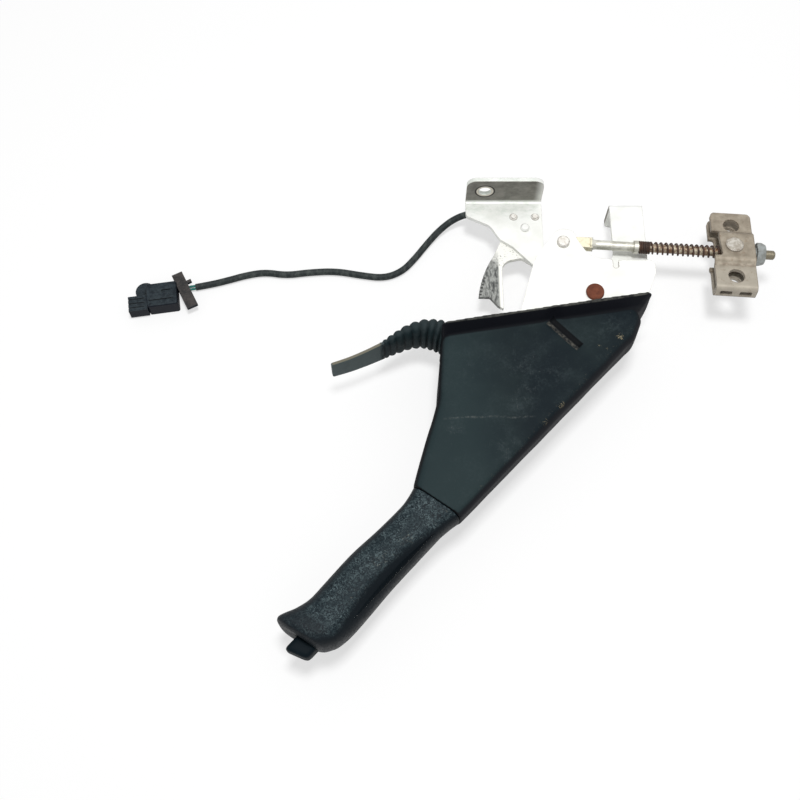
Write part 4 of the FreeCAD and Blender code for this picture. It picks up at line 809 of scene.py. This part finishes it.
def make_bellows():
    gaps = len(BELLOWS_ROWS) - 1
    rows = smooth_rows(BELLOWS_ROWS, RIDGES * RIDGE_STEPS // gaps)
    rings = []
    for index, ((x, y, half_height, half_width), across) in enumerate(frames_along(rows)):
        share = index / (len(rows) - 1)
        crest = abs(math.sin(math.pi * RIDGES * share)) ** 0.75
        crest *= RIDGE_HEIGHT * (1 - 0.35 * share)
        ring = []
        for c, s in circle(BELLOWS_POINTS):
            side = c * (half_width - 0.6 + crest)
            height = squarish(s, 0.8) * (half_height + crest)
            ring.append(at(x + across.x * side, y + across.y * side, MIDDLE + height))
        rings.append(ring)
    lofted_piece("tail_bellows", rings, "lever", "boot_plastic", finish=TAIL_FINISH)


def make_strap():
    t = STRAP_HALF
    rings = []
    rows = smooth_rows(STRAP_ROWS, 10)
    for index, ((x, y, half), across) in enumerate(frames_along(rows)):
        short = 1.2 if index == len(rows) - 1 else 0.0
        high = half - short
        section = [(-t, 0.7 - high), (-t, -high / 2), (-t, 0), (-t, high / 2), (-t, high - 2.6),
                   (-t * 0.5, high - 2.2), (-t * 0.45, high - 1.3), (-t, high - 0.9),
                   (-t * 0.8, high), (t * 0.8, high), (t, high - 0.6), (t, high / 2), (t, 0),
                   (t, -high / 2), (t, 0.7 - high), (t * 0.6, -high), (-t * 0.6, -high)]
        rings.append([at(x + across.x * side, y + across.y * side, MIDDLE + height)
                      for side, height in section])
    lofted_piece("tail_strap", rings, "lever", "boot_plastic", smooth=False, finish=TAIL_FINISH)


# Boot: the CAD shell made seamless, with moulded edges and gentle waves
SHELL_VOXEL = 0.9
SHELL_ROUNDS = 3


def in_tail(point):
    place = (point - PIVOT) / MM
    return place.x < -102.6 and place.y > -53.0 and abs(place.z - MIDDLE) < 18.5


def soft_shell():
    """Mesh of the CAD boot without its tail, remeshed finely and rounded."""
    mesh = NODES["boot"].data.copy()
    shell = bmesh.new()
    shell.from_mesh(mesh)
    bmesh.ops.remove_doubles(shell, verts=shell.verts, dist=1e-6)
    tail = [vertex for vertex in shell.verts if in_tail(vertex.co)]
    bmesh.ops.delete(shell, geom=tail, context="VERTS")
    bmesh.ops.holes_fill(shell, edges=[edge for edge in shell.edges if edge.is_boundary])
    shell.to_mesh(mesh)
    shell.free()
    holder = bpy.data.objects.new("boot_soft", mesh)
    bpy.context.scene.collection.objects.link(holder)
    remesh = holder.modifiers.new("remesh", "REMESH")
    remesh.mode = "VOXEL"
    remesh.voxel_size = SHELL_VOXEL * MM
    rounding = holder.modifiers.new("rounding", "SMOOTH")
    rounding.factor = 0.5
    rounding.iterations = SHELL_ROUNDS
    graph = bpy.context.evaluated_depsgraph_get()
    result = bpy.data.meshes.new_from_object(holder.evaluated_get(graph))
    bpy.data.objects.remove(holder)
    return result


def read_places(mesh):
    """The mesh's points as rows of an array."""
    places = np.empty(len(mesh.vertices) * 3)
    mesh.vertices.foreach_get("co", places)
    return places.reshape(-1, 3)


def write_places(mesh, places):
    mesh.vertices.foreach_set("co", places.ravel())
    mesh.update()


def swell(mesh):
    """Gentle waves of the moulding and the fuller rear corner, along each point's normal."""
    places = read_places(mesh)
    normals = np.empty(places.size)
    mesh.vertex_normals.foreach_get("vector", normals)
    rear_corner = at(28.0, -24.0, MIDDLE + 8) / MM
    moves = []
    for place in places:
        here = Vector(place) / MM
        waves = noise.noise(here * 0.035) * 0.5 + noise.noise(here * 0.11) * 0.12
        moves.append(waves + 1.1 * max(0.0, 1 - ((here - rear_corner).length / 20) ** 2))
    write_places(mesh, places + normals.reshape(-1, 3) * np.array(moves)[:, None] * MM)


def widen_slot(mesh):
    """Spreads the slot recess a little; the face round it takes up the spread."""
    places = read_places(mesh)
    away = places / MM - np.array(at(*SLOT_MIDDLE)) / MM
    along, across = away @ np.array(SLOT_ALONG), away @ np.array(SLOT_ACROSS)
    fade = np.clip((17 - abs(along)) / 4.5, 0, 1) * np.clip((8 - abs(across)) / 5, 0, 1)
    fade *= away[:, 2] > -6
    out = np.clip(along / 10, -1, 1) * 1.4 * fade * MM
    side = np.clip(across / 2, -1, 1) * 0.8 * fade * MM
    places += out[:, None] * np.array(SLOT_ALONG) + side[:, None] * np.array(SLOT_ACROSS)
    write_places(mesh, places)


def tuck_under(mesh):
    """Draws the lower half of the rear flank in, so that the underside is rounded."""
    places = read_places(mesh)
    own = places / MM - np.array(PIVOT) / MM
    across = (own - np.array(ARM_START)) @ np.array(ARM_ACROSS)
    out = (own - np.array(FLANGE_END)) @ np.array(FLANGE_OUT)
    weight = np.clip(-across / 10, 0, 1) * np.clip((-5 - out) / 9, 0, 1)
    shift = UNDERCUT * np.clip(MIDDLE + 5.0 - own[:, 2], 0, None) ** 2 * weight * MM
    write_places(mesh, places + shift[:, None] * np.array(ARM_ACROSS))


def make_boot():
    mesh = soft_shell()
    swell(mesh)
    widen_slot(mesh)
    tuck_under(mesh)
    new_piece("boot_shell", mesh, "lever", "boot_plastic", "boot")


make_boot()
make_bellows()
make_strap()


# Release button: rounded key whose end follows the grip's slant; along, inset, slant
KEY_ROWS = [(96.2, 1.05, 0), (109.2, 1.05, 0), (109.7, 0.0, 0), (119.6, 0.0, 0.36),
            (121.3, 0.25, 0.36), (122.1, 0.8, 0.36), (122.5, 1.7, 0.36), (122.6, 3.2, 0.36)]
KEY_HALF_ACROSS, KEY_HALF_SIDE, KEY_SQUARENESS = 7.2, 7.0, 5.0
KEY_POINTS = 64
# Guide with a stepped bore, so that the key's wide end has room when pressed
GUIDE_ROWS = [(97.5, 8.2, 8.7), (108.0, 8.2, 8.7), (108.0, 7.5, 7.3), (103.2, 7.5, 7.3),
              (103.2, 6.35, 7.3), (97.5, 6.35, 7.3)]


def make_button():
    rings = []
    for along, inset, slant in KEY_ROWS:
        ring = []
        for c, s in circle(KEY_POINTS):
            across = squarish(c, 2 / KEY_SQUARENESS) * (KEY_HALF_ACROSS - inset)
            height = squarish(s, 2 / KEY_SQUARENESS) * (KEY_HALF_SIDE - inset)
            ring.append((along + slant * across, across, height))
        rings.append(ring)
    lofted_piece("button_key", arm_rings(rings), "button", "button_plastic", "release_button")


def make_guide():
    rings = [box_ring(*row) for row in GUIDE_ROWS]
    lofted_piece("button_sleeve", arm_rings(rings), "lever", "switch_plastic", "button_guide",
                 closed=True, smooth=False)


make_button()
make_guide()


# Rod thread beyond the nut: shallow ridges on the plain cylinder
def make_thread():
    start, end, pitch, core = 116.8, 123.4, 1.0, 3.02
    crests = (0.0, 0.11, 0.16, 0.11)
    rings = []
    steps = int((end - start) / pitch * len(crests))
    for step in range(steps + 1):
        middle = ROD_NECK + ROD_ALONG * (start + (end - start) * step / steps)
        radius = core + crests[step % len(crests)]
        rings.append([at(*(middle + (ROD_ACROSS * c + UP * s) * radius)) for c, s in circle(40)])
    lofted_piece("rod_thread", rings, "rod", "rod_steel")


make_thread()

TURN_STEPS = 28
WIRE_POINTS = 10


def coil_rings(turns, wire, radius, axis, side, middle_at):
    """Rings of round wire wound round an axis; middle_at gives the axis point of a turn."""
    rings = []
    steps = int(turns * TURN_STEPS)
    for step in range(steps + 1):
        turn = turns * step / steps
        angle = 2 * math.pi * turn
        out = side * math.cos(angle) + UP * math.sin(angle)
        middle = middle_at(turn) + out * radius
        rings.append([at(*(middle + (out * c + axis * s) * wire)) for c, s in circle(WIRE_POINTS)])
    return rings


# Rod spring: close turns at the collar, then open turns to the trunnion
def make_spring():
    start, end, wire, close, turns = 32.7, 88.5, 0.6, 6.0, 20.0
    shut = wire * 2.04

    def middle_at(turn):
        open_share = max(turn - close, 0) / (turns - close)
        along = start + min(turn, close) * shut + open_share * (end - start - close * shut)
        return ROD_NECK + ROD_ALONG * along

    rings = coil_rings(turns, wire, 4.4 - wire, ROD_ALONG, ROD_ACROSS, middle_at)
    lofted_piece("spring_coils", rings, "rod", "spring_steel", "rod_spring")


# Button spring: coils between its seat and the button's foot
def make_button_spring():
    start, end, wire, turns = 68.4, 92.6, 1.0, 6.0

    def middle_at(turn):
        place = ARM_START + ARM_ALONG * (start + (end - start) * turn / turns)
        return Vector((place.x, place.y, MIDDLE))

    rings = coil_rings(turns, wire, 7.6, ARM_ALONG, ARM_ACROSS, middle_at)
    spring = lofted_piece("button_coils", rings, "lever", "spring_steel", "button_spring")
    on_arm(start - wire, 0)
    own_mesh(spring)


# Pivot: riveted pin with slightly uneven rims; radius, height
RIVET_ROWS = [(5.4, 13.6), (6.8, 14.4), (7.1, 15.8), (5.0, 15.8), (5.0, 44.2), (5.9, 44.2),
              (6.05, 44.8), (5.9, 45.6), (5.2, 46.1), (4.0, 46.3), (2.2, 46.2), (0.4, 46.2)]
RIVET_POINTS = 72
UNEVEN = 0.012


def make_pivot_rivet():
    rings = []
    for radius, height in RIVET_ROWS:
        ring = []
        for c, s in circle(RIVET_POINTS):
            reach = radius * (1 + UNEVEN * noise.noise(Vector((c, s, height)) * 2))
            ring.append(at(reach * c, reach * s, height))
        rings.append(ring)
    lofted_piece("pivot_rivet", rings, "base", "rusty_steel", "pivot_pin")


make_spring()
make_button_spring()
make_pivot_rivet()


# Floor, light and camera
FLOOR_HALF = 4.0
FLOOR_DROP = 0.0002
FLOOR_COLOUR = (0.97, 0.97, 0.97)
FLOOR_GLOW = 0.60
SKY = 0.42
LAMP_PLACE = (-0.05, 0.04, 1.50)
LAMP_SIZE = 0.30
LAMP_POWER = 15.3


def background_rays(tree):
    """1 for the rays that show the background: from the camera, in gloss and through glass."""
    camera, gloss, glass = (tree.node("ShaderNodeLightPath", output=name)
                            for name in ("Is Camera Ray", "Is Glossy Ray", "Is Transmission Ray"))
    return camera.most(gloss).most(glass)


def make_floor():
    mesh = bpy.data.meshes.new("floor")
    half = FLOOR_HALF
    mesh.from_pydata([(-half, -half, 0), (half, -half, 0), (half, half, 0), (-half, half, 0)], [],
                     [(0, 1, 2, 3)])
    floor = bpy.data.objects.new("floor", mesh)
    bpy.context.scene.collection.objects.link(floor)
    floor.location.z = -FLOOR_DROP
    material = bpy.data.materials.new("pale_floor")
    material.use_nodes = True
    tree = Tree(material.node_tree)
    tree.nodes.clear()
    matt = tree.node("ShaderNodeBsdfDiffuse", {}, {"Color": FLOOR_COLOUR})
    glow = tree.node("ShaderNodeEmission", {}, {"Strength": 1.0})
    mixed = tree.node("ShaderNodeMixShader", {},
                      {"Fac": background_rays(tree) * FLOOR_GLOW, 1: matt, 2: glow})
    tree.join(mixed, tree.nodes.new("ShaderNodeOutputMaterial").inputs["Surface"])
    mesh.materials.append(material)


def make_sky():
    world = bpy.data.worlds.new("studio")
    bpy.context.scene.world = world
    world.use_nodes = True
    tree = Tree(world.node_tree)
    plain = tree.nodes["Background"]
    tree.join((1.0, 1.0, 1.0), plain.inputs["Color"])
    tree.join(background_rays(tree).most(SKY), plain.inputs["Strength"])


def make_lamp():
    lamp = bpy.data.lights.new("soft_box", "AREA")
    lamp.shape = "SQUARE"
    lamp.size = LAMP_SIZE
    lamp.energy = LAMP_POWER
    holder = bpy.data.objects.new("soft_box", lamp)
    holder.location = LAMP_PLACE
    holder.rotation_euler = (holder.location * -1).to_track_quat("-Z", "Y").to_euler()
    bpy.context.scene.collection.objects.link(holder)


# Point on the floor that the camera looks at, its tilt and distance, and the focal length in
# widths of the picture
CAMERA_AIM = (-128.61, -58.37, 0.0)
CAMERA_TILT = math.radians(23.0)
CAMERA_DISTANCE = 730.0
FOCAL_SHARE = 1080 / 800
SENSOR = 36.0


def make_camera():
    data = bpy.data.cameras.new("camera")
    data.sensor_width = SENSOR
    data.lens = SENSOR * FOCAL_SHARE
    data.clip_start = 0.01
    camera = bpy.data.objects.new("camera", data)
    back = Vector((0, -math.sin(CAMERA_TILT), math.cos(CAMERA_TILT)))
    camera.location = at(*CAMERA_AIM) + back * CAMERA_DISTANCE * MM
    camera.rotation_euler = (CAMERA_TILT, 0, 0)
    bpy.context.scene.collection.objects.link(camera)
    bpy.context.scene.camera = camera


make_floor()
make_sky()
make_lamp()
make_camera()
bpy.context.scene.view_settings.view_transform = "Standard"
bpy.context.view_layer.update()
